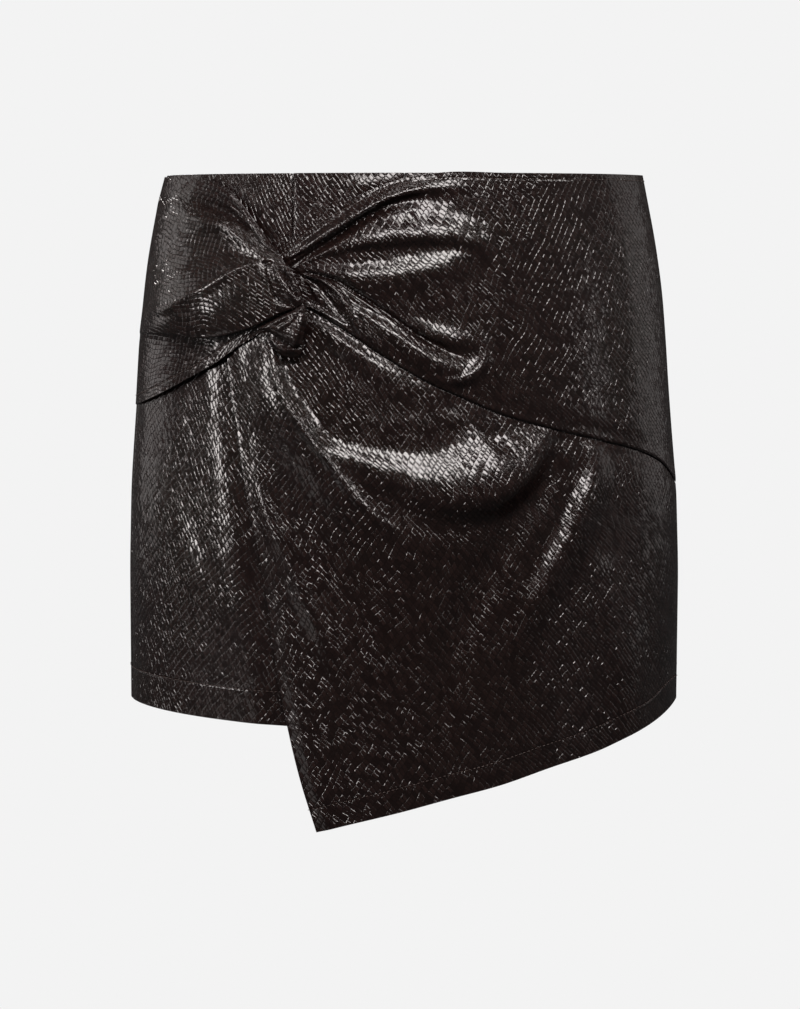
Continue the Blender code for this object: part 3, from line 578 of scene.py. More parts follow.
PANELS = {
    # name: side, facing, its two edges, folds, turn of the scales, column that the
    # pattern is laid from
    "shorts_front_side_right": (-1, "front", "side seam", PRINCESS_X + SEAM_GAP / 2,
                                FRONT_FOLDS, -6, -1),
    "shorts_front_right": (-1, "front", PRINCESS_X - SEAM_GAP / 2, LEG_TURN, WAIST_FOLDS, 4, 0),
    "shorts_front_left": (1, "front", "side seam", LEG_TURN, {}, 0, -1),
    "shorts_back_right": (-1, "back", "side seam", LEG_TURN, BACK_FOLDS, 4, -1),
    "shorts_back_left": (1, "back", "side seam", LEG_TURN, BACK_FOLDS, -4, 0),
}
panels, hem_paths = {}, []
for name, (side, facing, first, last, folds, grain, anchor) in PANELS.items():
    grid = shorts_grid(side, facing, first, last)
    normals, from_left, from_top = outwards(grid), measured(grid, 1), measured(grid, 0)
    height = (folded(grid[..., 0], grid[..., 2], folds) + rolled(from_left)
              + rolled(from_left[:, -1:] - from_left))
    outer = grid + normals * height[..., None]
    to_hem = from_top[-1:] - from_top
    made = cloth(name, outer, grain, to_hem - HEM_STITCH, anchor)
    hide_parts(name)
    on_skort(made)
    panels[name] = (made, outer, normals)
    hem_paths.append(line_at(outer, normals, -to_hem, -HEM_STITCH))
shorts_stitches = topstitch("shorts_topstitching", hem_paths)
on_skort(shorts_stitches)

# Seam allowances: each seam's edges, pressed open inside.
ALLOWANCE = 7.0
ALLOWANCE_THICK = 0.5
ALLOWANCE_GAP = 0.1       # from the cloth's inner side
WHOLE = (0.0, math.inf)   # depths from which and to which a seam runs
ABOVE_CROTCH = (0.0, CROTCH)
BELOW_CROTCH = (CROTCH + 1.0, math.inf)
BELOW_ZIP = (194.0, CROTCH)
SEAMS = {
    # name: the panels before and after it, seen from outside, and its depths
    "side_seam_right": ("shorts_back_right", "shorts_front_side_right", WHOLE),
    "princess_seam": ("shorts_front_side_right", "shorts_front_right", WHOLE),
    "centre_front_seam": ("shorts_front_right", "shorts_front_left", ABOVE_CROTCH),
    "side_seam_left": ("shorts_front_left", "shorts_back_left", WHOLE),
    "centre_back_seam": ("shorts_back_left", "shorts_back_right", BELOW_ZIP),
    "inseam_right": ("shorts_front_right", "shorts_back_right", BELOW_CROTCH),
    "inseam_left": ("shorts_back_left", "shorts_front_left", BELOW_CROTCH),
}
sewn = {"shorts_topstitching": shorts_stitches}
for name, (before, after, (top, end)) in SEAMS.items():
    rows = (ROW_DEPTHS >= top) & (ROW_DEPTHS < end)
    strips = []
    for panel, edge in ((before, -1), (after, 0)):
        _, grid, normals = panels[panel]
        grid, normals = grid[rows], normals[rows]
        from_seam = np.linalg.norm(grid - grid[:, edge][:, None], axis=2).max(axis=0)
        strips.append((grid - normals * (CLOTH + ALLOWANCE_GAP))[:, from_seam < ALLOWANCE])
    sewn[name] = cloth(name, np.concatenate(strips, axis=1), thickness=ALLOWANCE_THICK,
                       looks=(COATING, COATING))
    on_skort(sewn[name])


# ---------------------------------------------------------------- the concealed zip
# A coil zip sewn to the centre back seam from inside: two woven tapes, a moulded coil
# between them, and a small enamelled slider whose drop-shaped pull hangs outside.

ZIP_TOP = 5.0             # depth of the tape's top and of its end
ZIP_END = 190.0
TAPE_STEP = 2.5           # the mesh's step along the tape, and its columns
TAPE_COLUMNS = 9
TAPE_WIDTH = 24.0         # of the two tapes together
TAPE_EDGE = 0.2           # from the middle of the seam to a tape
TAPE = 1.0                # thickness
TAPE_GAP = 0.4            # from the cloth's inner side
RIB, WEFT = 0.7, 0.5      # between the tape's woven ribs, and between its weft threads
COIL_PITCH = 1.5          # along the coil, and one turn's length, width and thickness
COIL_TURN = (0.9, 4.4, 1.3)
COIL_GAP = 0.2            # from the tapes' inner side
SLIDER_DEPTH = 9.0
SLIDER_GAP = 0.4
SLIDER = (5.2, 9.0, 1.6)  # width, length, thickness
SLIDER_CORNER = 1.2
BRIDGE = (1.6, 7.0, 2.7)
BRIDGE_STRAP = 0.8
BRIDGE_SHOULDER = 0.9
BRIDGE_FOOT = -0.4        # its end, sunk into the slider
PULL = (7.6, 24.0, 0.9)
PULL_BAR = 1.0            # the bar that turns in the bridge, and the neck beside it
PULL_NECK = 4.4
NECK_END = 1.2            # from the window to where the neck widens
WINDOW = (2.2, 3.5)
PIVOT_HEIGHT = 0.95
PULL_LEAN = 3.0           # degrees that the hanging pull leans in to the cloth
SHARP = 0.7               # radians, from which a cast edge is rounded


def zip_tape_polyester(node):
    """Woven polyester tape, matt, with a fine rib along it."""
    flat = node("ShaderNodeUVMap", uv_map="Cloth")
    rib = node("ShaderNodeTexWave", {"Vector": flat, "Scale": ONE_WAVE / RIB, "Distortion": 0.3},
               "Fac")
    weft = node("ShaderNodeTexWave", {"Vector": flat, "Scale": ONE_WAVE / WEFT}, "Fac",
                bands_direction="Y")
    height = node("ShaderNodeMath", {0: rib, 1: weft}, operation="MULTIPLY")
    # The tape's colour follows the weave's height: painted shade darkens its hollows and a painted
    # highlight lightens its raised ribs.
    return {
        "Normal": node("ShaderNodeBump", {"Height": height, "Distance": 0.15 * MM}),
        "Base Color": node("ShaderNodeMix", {"Factor": height, 6: linear("#1f1715"),
                                             7: linear("#3a2d28")}, 2, data_type="RGBA"),
        "Roughness": 0.85}


def coil_nylon(node):
    """Moulded nylon monofilament, dark and half glossy."""
    where = node("ShaderNodeTexCoord", output="Object")
    cloud = node("ShaderNodeTexNoise", {"Vector": where, "Scale": 900.0})
    return {
        "Roughness": node("ShaderNodeMapRange", {"Value": cloud, "To Min": 0.3, "To Max": 0.5}),
        "Base Color": linear("#2c211e")}


def zip_enamelled_zinc(node):
    """Baked enamel over zinc alloy: smooth and glossy, faintly worn to roughness."""
    where = node("ShaderNodeTexCoord", output="Object")
    cloud = node("ShaderNodeTexNoise", {"Vector": where, "Scale": 700.0, "Detail": 3.0})
    return {
        "Roughness": node("ShaderNodeMapRange", {"Value": cloud, "To Min": 0.22, "To Max": 0.42}),
        "Normal": node("ShaderNodeBump", {"Height": cloud, "Distance": 0.02 * MM}),
        "Base Color": linear("#1f1815"), "Metallic": 0.2, "Coat Weight": 0.4,
        "Coat Roughness": 0.15}


TAPE_LOOK, ENAMEL = material(zip_tape_polyester), material(zip_enamelled_zinc)
tape_depths = np.arange(ZIP_TOP, ZIP_END + 0.1, TAPE_STEP)
from_middle = np.linspace(TAPE_EDGE, TAPE_WIDTH / 2, TAPE_COLUMNS)
for name, steps in (("zip_tape_left", from_middle[::-1]), ("zip_tape_right", -from_middle)):
    half = figure(-tape_depths)[1][:, None]
    grid = on_figure(math.pi - steps / half, -tape_depths[:, None], -CLOTH - TAPE_GAP)
    tape = cloth(name, grid, thickness=TAPE, looks=(TAPE_LOOK, TAPE_LOOK))
    on_skort(tape, slot="zip_tape_polyester")
    if name == "zip_tape_left":
        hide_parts("zip_tape")

coil_points = on_figure(math.pi, -tape_depths, -CLOTH - TAPE_GAP - TAPE - COIL_GAP)
coil = rounded_row("zip_coil", [(coil_points, np.tile((0.0, -1.0, 0.0), (len(coil_points), 1)))],
                   COIL_PITCH, COIL_TURN, material(coil_nylon))
on_skort(coil, slot="zip_tape_polyester")


def zip_frame():
    """A matrix at the slider: x across, y down along the cloth, z outwards."""
    above, middle, below = (on_figure(math.pi, -depth) for depth in
                            (SLIDER_DEPTH - 4, SLIDER_DEPTH, SLIDER_DEPTH + 4))
    down = Vector(below - above).normalized()
    across = Vector((1.0, 0.0, 0.0))
    out = across.cross(down)
    made = Matrix((across, down, out)).transposed().to_4x4()
    made.translation = Vector(middle) * MM + out * (SLIDER_GAP + SLIDER[2]) * MM
    return made


def finished(name, body, look):
    """The object of a body whose mesh is done."""
    mesh = bpy.data.meshes.new(name)
    body.to_mesh(mesh)
    body.free()
    mesh.materials.append(look)
    mesh.shade_smooth()
    return new_object(name, mesh)


def cast(name, outline, low, high, axis, place, edge, hole=()):
    """A cast part from an outline in mm, drawn out along a local axis, its edges rounded."""
    body = bmesh.new()
    rims = []
    for line in filter(len, (outline, hole)):
        verts = [body.verts.new((low, a, b) if axis == "x" else (a, b, low)) for a, b in line]
        rims += [body.edges.new((verts[i - 1], verts[i])) for i in range(len(verts))]
    filled = bmesh.ops.triangle_fill(body, edges=rims, use_beauty=True)
    faces = [item for item in filled["geom"] if isinstance(item, bmesh.types.BMFace)]
    drawn = bmesh.ops.extrude_face_region(body, geom=faces, use_keep_orig=True)
    moved = [item for item in drawn["geom"] if isinstance(item, bmesh.types.BMVert)]
    step = (high - low, 0.0, 0.0) if axis == "x" else (0.0, 0.0, high - low)
    bmesh.ops.translate(body, vec=step, verts=moved)
    bmesh.ops.recalc_face_normals(body, faces=body.faces)
    sharp = [e for e in body.edges if len(e.link_faces) == 2 and e.calc_face_angle() > SHARP]
    bmesh.ops.bevel(body, geom=sharp, offset=edge, segments=2, affect="EDGES", profile=0.6)
    bmesh.ops.scale(body, vec=(MM, MM, MM), verts=body.verts)
    bmesh.ops.transform(body, matrix=place, verts=body.verts)
    return finished(name, body, ENAMEL)


SLIDER_PLACE = zip_frame()
w, h, cut = SLIDER[0] / 2, SLIDER[1] / 2, SLIDER_CORNER
chamfered = [(-w + cut, -h), (w - cut, -h), (w, -h + cut), (w, h - cut),
             (w - cut, h), (-w + cut, h), (-w, h - cut), (-w, -h + cut)]
slider = cast("slider_body", chamfered, -SLIDER[2], 0.0, "z", SLIDER_PLACE, 0.35)

half, top, strap, shoulder = BRIDGE[1] / 2, BRIDGE[2], BRIDGE_STRAP, BRIDGE_SHOULDER
arch = [(half - shoulder, top), (half, top - shoulder), (half, BRIDGE_FOOT),
        (half - strap, BRIDGE_FOOT), (half - strap, top - shoulder - strap / 2),
        (half - shoulder - strap / 2, top - strap)]
arch += [(-a, b) for a, b in reversed(arch)]
bridge = cast("slider_bridge", arch, -BRIDGE[0] / 2, BRIDGE[0] / 2, "x", SLIDER_PLACE, 0.12)
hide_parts("zip_slider")
on_skort(slider, bridge, slot="zip_enamelled_zinc")

neck, wide, bar = PULL_NECK / 2, PULL[0] / 2, PULL_BAR / 2
end, shoulder = PULL[1] - bar - wide, bar + WINDOW[1] + NECK_END
drop = [(-neck, -bar), (neck, -bar), (neck, shoulder)]
drop += [(wide * math.cos(a), end + wide * math.sin(a)) for a in np.linspace(0, math.pi, 25)]
drop += [(-neck, shoulder)]
window = [(-WINDOW[0] / 2, bar), (-WINDOW[0] / 2, bar + WINDOW[1]),
          (WINDOW[0] / 2, bar + WINDOW[1]), (WINDOW[0] / 2, bar)]
pull_place = (SLIDER_PLACE @ Matrix.Translation((0.0, 0.0, PIVOT_HEIGHT * MM))
              @ Matrix.Rotation(math.radians(-PULL_LEAN), 4, "X"))
pull = cast("zip_pull_tab", drop, -PULL[2] / 2, PULL[2] / 2, "z", pull_place, 0.2, window)
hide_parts("zip_pull")
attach(pull, "zip_pull")


# ---------------------------------------------------------------- the wrapped yoke
# The upper half of the wrap, of the same cloth. It is gathered into the knot at the
# right hip, so lobes and creases fan out from there, and its free upper edge is faced
# and topstitched as a flat band. Its lower edge is sewn to the panel.

LAYER_GAP = 0.5           # between the shorts and the cloth over them
FLAT_HEIGHT = LAYER_GAP + CLOTH
ROUND = 130.0             # mm round the figure for each radian, about
YOKE_TOP = ((-77, -46), (-70, -42), (-62, -34), (-44, -22), (-26, -13), (-9, -6), (6, -2), (21, 0),
    (60, 0), (105, 0), (146, 0))
WRAP_SEAM = ((-106, -100), (-94, -90), (-80, -85), (-68, -81), (-59, -79), (-50, -83), (-38, -90),
    (-14, -106), (15, -123), (33, -131), (56, -141), (86, -150), (116, -158), (142, -166),
    (155, -173), (167, -188))
WRAP_EDGE = ((-106, -100), (-103, -128), (-100, -146), (-95, -181), (-92, -196), (-86, -224),
    (-81, -253), (-77, -282), (-69, -327), (-62, -356), (-52, -388))
WRAP_HEM = ((-52, -388), (-38, -384), (-3, -375), (27, -367), (56, -360), (86, -351), (116, -343),
    (141, -334), (155, -329), (168, -321))
YOKE_START = 3            # the yoke's seam starts at this row of WRAP_SEAM
YOKE_GATHER = (-75, -60)  # the middle of its gathered end
YOKE_SIZE = (150, 245)    # rough length and width, for the mesh's steps
YOKE_CROWD = 1.35         # how much finer the mesh is at the knot
YOKE_STEP = 1.25
YOKE_GRAIN = 10
BAND_STITCH = 3.6         # from the upper edge to its stitch line
STAND_OFF = 3.2           # of the wrap over the shorts, and what the hem adds to it
HEM_STAND_OFF = 2.0
HEM_PART = (240.0, 120.0)       # depth where that begins, and over what depth it grows
KNOT_PLACE = (-62, -74)
# Where the wrap is held down: the least share of its height, up to what distance that
# holds, and over what distance more the height grows to the whole.
NEAR_KNOT = (0.25, 6.5, 26.0)
NEAR_SEAM = (0.6, 0.0, 14.0)
FOLDS_NEAR_SEAM = (0.3, 0.0, 5.0)
NEAR_SIDE = (0.0, -1.7, 34.0)
NEAR_EDGE = (0.0, 9.0)          # its least share grows down the edge
EDGE_SHARE = (0.3, 0.3, 160.0, 60.0)
LEAST_LIFT = 0.6          # mm squared that keeps the wrap just off the shorts, with a soft bend
SEAM_STEP = 6.0           # the yoke's edge stands a little over the panel's at their seam
SEAM_SHADOW = 0.65        # from the seam's line down to the panel's edge
YOKE_LIFT, PANEL_LIFT = 0.7, -0.4
YOKE_ROLL, PANEL_ROLL = 1.6, 0.2    # how far their edges roll under, as shares of ROLL

# Its folds, as the shorts' are given, walking away from the knot.
YOKE_FOLDS = {
    "band ridge": ((-70, -51, 0.6, 3, 2), (-60, -45.5, 2.2, 5, 2.2), (-49, -38.5, 3.2, 6, 2.6),
        (-33, -28.5, 3.8, 7, 3), (-22, -21.5, 3.8, 7.5, 3.2), (-9, -15, 3.6, 8, 3.6),
        (4, -11, 2.8, 8, 4.2), (19, -9, 1.4, 7, 5), (34, -9, 0.3, 6, 6)),
    "band crease": ((-67, -55, -0.6, 1.6, 2), (-51, -45, -2.8, 2.6, 4), (-36, -34.5, -3.6, 3, 5.5),
        (-24, -26, -3.6, 3, 6), (-12, -20, -3.2, 3.4, 6.5), (0, -16.5, -2.4, 4, 7),
        (10, -15.5, -1.2, 4.6, 7), (24, -15, -0.3, 6, 7)),
    "first lobe": ((-60, -52.5, 0.4, 2.5, 3), (-50, -48, 1.4, 5, 3.5), (-36, -43.5, 2.5, 10, 5),
        (-22, -40.5, 3.3, 14, 6), (-8, -38.5, 3.8, 16, 7), (8, -37.5, 3.9, 17, 7.5),
        (24, -37.5, 3.6, 17, 8), (37, -39, 2.9, 15, 8), (46, -43, 1.6, 12, 8),
        (49, -50, 0.4, 10, 8)),
    "lobe dent": ((2, -22, -0.3, 4, 3), (5, -28, -1, 4.5, 3.5), (9, -35, -0.6, 4, 4),
        (12, -41, -0.2, 4, 4)),
    "second lobe": ((-62, -56.5, 0.3, 2, 2), (-52, -57, 1.1, 4.5, 3.5), (-42, -59, 1.9, 6.5, 6),
        (-27, -61.5, 2.6, 10.5, 11), (-12, -62, 2.8, 13, 14), (4, -60, 2.7, 13.5, 16),
        (20, -56, 2.3, 13, 17), (34, -50, 1.7, 12, 15), (43, -43, 1, 10, 12),
        (47, -34, 0.3, 8, 10)),
    "lower belly": ((0, -87, 0.2, 7, 4), (10, -91, 1, 8, 4.5), (20, -95.5, 1.9, 9, 5),
        (33, -99, 1.6, 9, 5.5), (43, -99.5, 0.4, 8, 6)),
    "deep crease": ((-64, -58.5, -0.5, 1.2, 1.5), (-51, -60, -1.8, 2.2, 1.8),
        (-40, -63, -2.8, 2.8, 1.8), (-31, -68.5, -3.3, 3, 1.8), (-18, -77, -3.5, 3.2, 1.8),
        (-5, -86, -3.3, 3.4, 1.9), (8, -95, -2.8, 3.6, 2.1), (20, -102, -2.1, 4, 2.5),
        (34, -108.5, -0.6, 5, 3)),
    "third lobe": ((-44, -72, 0.4, 2.5, 3), (-34, -77, 1.2, 3.6, 6), (-22, -85, 2.1, 5.5, 9),
        (-4, -97, 3, 8, 12), (13, -108, 3.5, 9.5, 14), (27, -114.5, 3.2, 10, 14),
        (38, -116, 2, 9, 12), (46, -110, 0.7, 7, 9)),
    "petal rim": ((41, -90, 0.3, 4, 4), (46, -98, 1.2, 4.5, 4), (47.5, -105, 2, 5, 4),
        (45, -112.5, 2.2, 5.5, 4), (38, -119, 2.2, 6, 4), (28, -122, 1.6, 6, 4),
        (17, -121, 0.5, 5, 4)),
    "inner pleat": ((-63, -58, 0.5, 1.5, 1.2), (-57, -60, 1.8, 2, 1.4), (-49, -63, 2.8, 3, 1.8),
        (-41, -68.5, 3.2, 3.6, 2.2), (-35.5, -75, 3.2, 4, 2.6), (-33, -82, 3, 4.4, 3),
        (-28, -90, 2.4, 6, 4), (-19, -98, 2, 7, 5), (-8, -106, 0.8, 7, 6)),
    "pleat crease": ((-61, -60.5, -0.6, 1.2, 1.2), (-52, -65.5, -2, 1.6, 2),
        (-46, -71.5, -2.4, 2, 2.6), (-40, -79, -1.8, 2.4, 3), (-35, -86, -0.5, 3, 3)),
    "knot line": ((-58, -62, 0.4, 1.2, 1.2), (-55, -66.5, 1.3, 1.5, 1.2),
        (-52.5, -71, 1.2, 1.6, 1.3), (-50, -76, 0.4, 1.5, 1.5)),
    "seam edge": ((-57, -79, 0.8, 2.5, 1.5), (-51, -81, 2, 3.5, 1.6), (-44, -85.5, 2, 4, 1.6),
        (-36, -91, 1.2, 4.5, 1.8), (-24, -98.5, 0.4, 5, 2)),
}


def front_angle(x, z, height):
    """The angle of a raised point of the front, kept between the two side seams."""
    right, left, front, _ = figure(z)
    half = np.where(x < 0, right, left)
    limit = math.sin(SIDE_SEAM)
    angle = np.arcsin(np.clip(x / half, -limit, limit))
    for _ in range(5):
        normal_x, normal_y = np.sin(angle) / half, np.cos(angle) / front
        aside = height * normal_x / np.hypot(normal_x, normal_y)
        angle = np.arcsin(np.clip((x - aside) / half, -limit, limit))
    return angle


def over_front(x, z, height):
    """Points of the front that are seen at x, z and lie at a height over the shorts."""
    return on_figure(front_angle(x, z, height), z, height)


def unrolled(rows):
    """A table's x, z as distance round the figure and z."""
    x, z = np.asarray(rows, dtype=float).T
    return np.column_stack([front_angle(x, z, FLAT_HEIGHT) * ROUND, z])


def rolled_up(flat):
    """The places x, z at which unrolled points are seen."""
    angle, z = flat[..., 0] / ROUND, flat[..., 1]
    return on_figure(angle, z, FLAT_HEIGHT)[..., 0], z


def patch(top, bottom, left, right, down, along):
    """A grid between four edges, at shares down its sides and along its top."""
    u, v = along[None, :, None], down[:, None, None]
    edge_top, edge_bottom = smooth_line(top, along)[None], smooth_line(bottom, along)[None]
    edge_left, edge_right = smooth_line(left, down)[:, None], smooth_line(right, down)[:, None]
    corners = ((1 - u) * (1 - v) * edge_top[:, :1] + u * (1 - v) * edge_top[:, -1:]
               + (1 - u) * v * edge_bottom[:, :1] + u * v * edge_bottom[:, -1:])
    return ((1 - v) * edge_top + v * edge_bottom + (1 - u) * edge_left + u * edge_right) - corners


def distance_to(x, z, rows):
    """Distance from points of the front to a line."""
    return nearest_on(x, z, np.asarray(rows, dtype=float))[0]


def held_down(distance, least, start, width):
    """A share of a height: least up to a distance, and growing to the whole over a width."""
    return least + (1 - least) * ease((distance - start) / width)


def wrap_height(x, z, folds, lift):
    """Height of the wrap's outer side over the shorts, low at its side, seam and edge."""
    to_side = figure(z)[1] * math.sin(SIDE_SEAM) - x
    to_knot = np.hypot(x - KNOT_PLACE[0], z - KNOT_PLACE[1])
    to_seam = distance_to(x, z, WRAP_SEAM[YOKE_START:])
    height = STAND_OFF + HEM_STAND_OFF * ease((-z - HEM_PART[0]) / HEM_PART[1])
    height = height * held_down(to_knot, *NEAR_KNOT) * held_down(to_seam, *NEAR_SEAM)
    height = height + held_down(to_seam, *FOLDS_NEAR_SEAM) * folded(x, z, folds)
    height = height * held_down(to_side, *NEAR_SIDE)
    share, growth, start, width = EDGE_SHARE
    least = share + growth * ease((-z - start) / width)
    height = height * held_down(distance_to(x, z, WRAP_EDGE), least, *NEAR_EDGE)
    height = FLAT_HEIGHT + (height + np.sqrt(height ** 2 + LEAST_LIFT)) / 2
    height = height + rolled(to_seam) * (YOKE_ROLL if lift > 0 else PANEL_ROLL)
    return height + lift * ease(1 - to_seam / SEAM_STEP)


def wrap_cloth(name, flat, folds, lift, edge, stitch, grain):
    """A piece of the wrap from unrolled points, its stitches, and their distance to an edge."""
    x, z = rolled_up(flat)
    points = over_front(x, z, wrap_height(x, z, folds, lift))
    to_edge = distance_to(x, z, edge)
    made = cloth(name, points, grain, to_edge - stitch, points.shape[1] // 2)
    return made, points, to_edge


seam_line = unrolled(WRAP_SEAM)
above_seam = seam_line[YOKE_START:] + (0, SEAM_GAP / 2)
below_seam = seam_line - (0, SEAM_SHADOW)
yoke_top = unrolled(YOKE_TOP)
gathered = np.array([yoke_top[0], *unrolled([YOKE_GATHER]), above_seam[0]])
yoke_side = np.array([yoke_top[-1], above_seam[-1]])
yoke_flat = patch(yoke_top, above_seam, gathered, yoke_side, graded(YOKE_SIZE[0], YOKE_STEP),
                  graded(YOKE_SIZE[1], YOKE_STEP) ** YOKE_CROWD)
yoke, points, to_top = wrap_cloth("wrapped_yoke", yoke_flat, YOKE_FOLDS, YOKE_LIFT, YOKE_TOP,
                                  BAND_STITCH, YOKE_GRAIN)
band_stitches = topstitch("band_topstitching",
                          [line_at(points, outwards(points), to_top, BAND_STITCH)])
on_skort(yoke, band_stitches)
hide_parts("wrap_yoke")


# ---------------------------------------------------------------- the draped panel
# The lower half of the wrap, sewn to the yoke along a slanting seam. Slack below the
# knot falls in one deep cowl across its front, and it hangs to a pointed hem, which is
# turned up and topstitched, with a free edge down the right.

PANEL_STEP = 1.3
PANEL_SIZE = (245, 260)   # rough length and width, for the mesh's steps
PANEL_HEM_STITCH = 14.0
PANEL_GRAIN = 2
PANEL_FOLDS = {
    "cowl swell": ((-82, -104, 0.4, 30, 28), (-74, -132, 1.4, 60, 36), (-58, -158, 3, 64, 34),
        (-38, -186, 4.2, 58, 30), (-14, -210, 3, 48, 24), (12, -222, 1.5, 38, 22),
        (40, -222, 0.5, 26, 20)),
    "cowl fold": ((-79, -98, 3.6, 6, 16), (-77, -113, 5.8, 8, 22), (-70, -134, 7.2, 10, 28),
        (-61, -147, 6.4, 11, 30), (-51, -162, 4.8, 12, 28), (-41, -175, 3.6, 14, 24),
        (-29, -190, 2.6, 16, 18), (-17, -202.5, 2, 17, 13), (-3, -211, 1.4, 16, 11),
        (15, -216, 1, 13, 11), (32, -216, 0.5, 12, 12), (45, -210, 0.2, 12, 12)),
    "cowl crest": ((-79, -106, 0.5, 3, 2), (-75.5, -121, 1.6, 3.6, 2.8), (-66.5, -139.5, 2, 4, 3),
        (-53.5, -158, 2.4, 4.4, 3.2), (-41.5, -173, 2.5, 4.6, 3.4), (-29.5, -188.5, 2.1, 4.6, 3.4),
        (-17.5, -201, 1.3, 4.6, 3.6), (-3, -209.5, 0.4, 4, 4)),
    "cowl belly": ((-47, -158, 1, 6, 8), (-34, -166, 2.6, 10, 10), (-18, -173, 4, 15, 14),
        (-2, -179, 4.8, 21, 18), (14, -186, 7, 34, 20), (32, -190, 9.8, 47, 20),
        (52, -188, 11.4, 51, 18), (69, -178, 9.6, 46, 15), (79, -163, 4.4, 26, 12),
        (85, -148, 0.6, 10, 10)),
    "upper hollow": ((-30, -137, -0.3, 12, 10), (-3, -138, -1, 14, 10), (27, -136, -0.8, 12, 10)),
    "knot hollow": ((-72, -103, -1.2, 4, 5), (-63, -108, -1, 5, 6), (-52, -114, -0.3, 5, 6)),
    "side ridge": ((112, -164, 2.4, 10, 10), (114, -176, 5, 14, 13), (109, -193, 6.6, 16, 14),
        (100, -214, 6.3, 16, 14), (89, -234, 5.4, 16, 14), (78, -254, 4, 16, 14),
        (68, -274, 2, 16, 15)),
    "side hollow": ((92, -158, -2, 10, 10), (83, -181, -3, 12, 12), (71, -198, -3, 14, 14),
        (56, -221, -3, 15, 15), (44, -244, -3, 16, 16), (32, -267, -3, 17, 17),
        (25, -296, -2.5, 18, 18), (21, -330, -1, 18, 18)),
    "edge fold": ((-84, -190, 1.4, 8, 8), (-77, -207, 2.9, 8.5, 9), (-69, -224, 2.2, 10, 10),
        (-59, -248, 3.1, 9, 11), (-51, -265, 3.2, 9, 11), (-42, -282, 1.6, 10, 11),
        (-34, -298, 0.6, 11, 11)),
    "hem swell": ((123, -238, 1, 16, 16), (135, -300, 2.5, 20, 20), (141, -330, 2, 20, 20)),
    "seam fold": ((-55, -87, 1.2, 2.5, 4), (-47, -91.5, 2, 4, 7), (-39, -97, 2.4, 5, 9),
        (-30, -103.5, 2.4, 6, 10), (-20, -111, 1.6, 7, 10), (-8, -119, 0.6, 7, 9)),
    "seam hollow": ((-57, -95, -0.6, 3, 8), (-47, -104, -0.8, 4, 10), (-36, -112, -0.8, 5, 12),
        (-20, -123, -0.5, 6, 14)),
}
panel_hem, panel_free = unrolled(WRAP_HEM), unrolled(WRAP_EDGE)
panel_free[0] = below_seam[0]
panel_side = np.array([below_seam[-1], panel_hem[-1]])
panel_flat = patch(below_seam, panel_hem, panel_free, panel_side,
                   *(graded(length, PANEL_STEP) for length in PANEL_SIZE))
panel, points, to_hem = wrap_cloth("draped_panel", panel_flat, PANEL_FOLDS, PANEL_LIFT, WRAP_HEM,
                                   PANEL_HEM_STITCH, PANEL_GRAIN)
panel_stitches = topstitch("panel_topstitching",
                           [line_at(points, outwards(points), -to_hem, -PANEL_HEM_STITCH)])

# The allowance of the seam between yoke and panel lies behind it: the shifts of its
# lines below the seam, its points along each, its thickness and its gap behind the cloth.
SEAM_SHIFTS = (-5.0, -2.5, 0.0, 1.2, 2.4, 3.6)
SEAM_POINTS = 200
SEAM_THICK = 0.2
SEAM_BEHIND = 0.05
lines = []
for shift in SEAM_SHIFTS:
    line = smooth_line(seam_line[YOKE_START:] - (0, shift), np.linspace(0, 1, SEAM_POINTS))
    x, z = rolled_up(line)
    behind = CLOTH + ROLL + SEAM_BEHIND + rolled(abs(shift))
    lines.append(over_front(x, z, wrap_height(x, z, PANEL_FOLDS, 0.0) - behind))
wrap_seam = cloth("wrap_seam", np.array(lines), thickness=SEAM_THICK, looks=(COATING, COATING))
on_skort(panel, panel_stitches, wrap_seam)
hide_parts("wrap_panel")


# ---------------------------------------------------------------- the sash
# A wide band of the same cloth that comes from the right side seam and is pulled into
# the knot, so it lies in one broad roll with small pleats above and a layer below.

# Lines from the side seam to the knot: x, z, height over the shorts. The fold edge
# hangs over the lines after it.
SASH_LINES = (
    ((-147, -1, 2.2), (-124, -1.5, 2.6), (-105, -9, 4.5), (-93, -22, 6.5), (-84, -34, 8.5),
     (-79, -41, 9.5), (-75, -45, 8.5)),
    ((-150, -12, 2.2), (-132, -14, 3), (-113, -20, 4.2), (-98, -30, 7.5), (-87, -40, 10),
     (-79, -46, 11.5), (-73, -48, 9.5)),
    ((-152, -24, 2.2), (-134, -25, 5.5), (-115, -29, 9.5), (-101, -36, 12), (-89, -44, 13.5),
     (-79, -50, 14), (-71, -51, 11)),
    ((-157, -53, 2.2), (-138, -49, 6), (-118, -45, 8.5), (-103, -45, 11.5), (-90, -49, 13.5),
     (-79, -54, 14.5), (-69, -54, 11.5)),
    ((-160, -80, 2.8), (-143, -75, 12.5), (-122, -66, 16.5), (-104, -57, 17), (-90, -55, 16.5),
     (-78, -58, 15), (-66, -57.5, 12)),
    ((-161, -88, 3), (-142, -86, 12.5), (-120, -83, 15.5), (-104, -76, 16.5), (-89, -71, 16.5),
     (-76, -68, 15), (-62, -66, 12.5)),
    ((-162, -95, 2.8), (-142, -95, 9.5), (-120, -97, 11.5), (-103, -94, 12.5), (-88, -89, 13.5),
     (-73, -81.5, 13.5), (-58.5, -76.5, 11.5)),
    ((-162, -98, 2.3), (-142, -94, 6.5), (-120, -95, 8), (-103, -92, 9), (-88, -87, 10),
     (-73, -81, 10), (-60, -76.8, 8.8)),
    ((-163, -107, 2), (-144, -104, 3.8), (-123, -104, 5), (-106, -99, 6.8), (-91, -92, 8.4),
     (-77, -85, 8.8), (-67, -79.5, 8.4)),
    ((-165, -140, 1.9), (-148, -132, 3.2), (-128, -121, 4), (-112, -112, 5.2), (-98, -102, 6.8),
     (-85, -94, 8), (-76, -88, 8.2)),
)
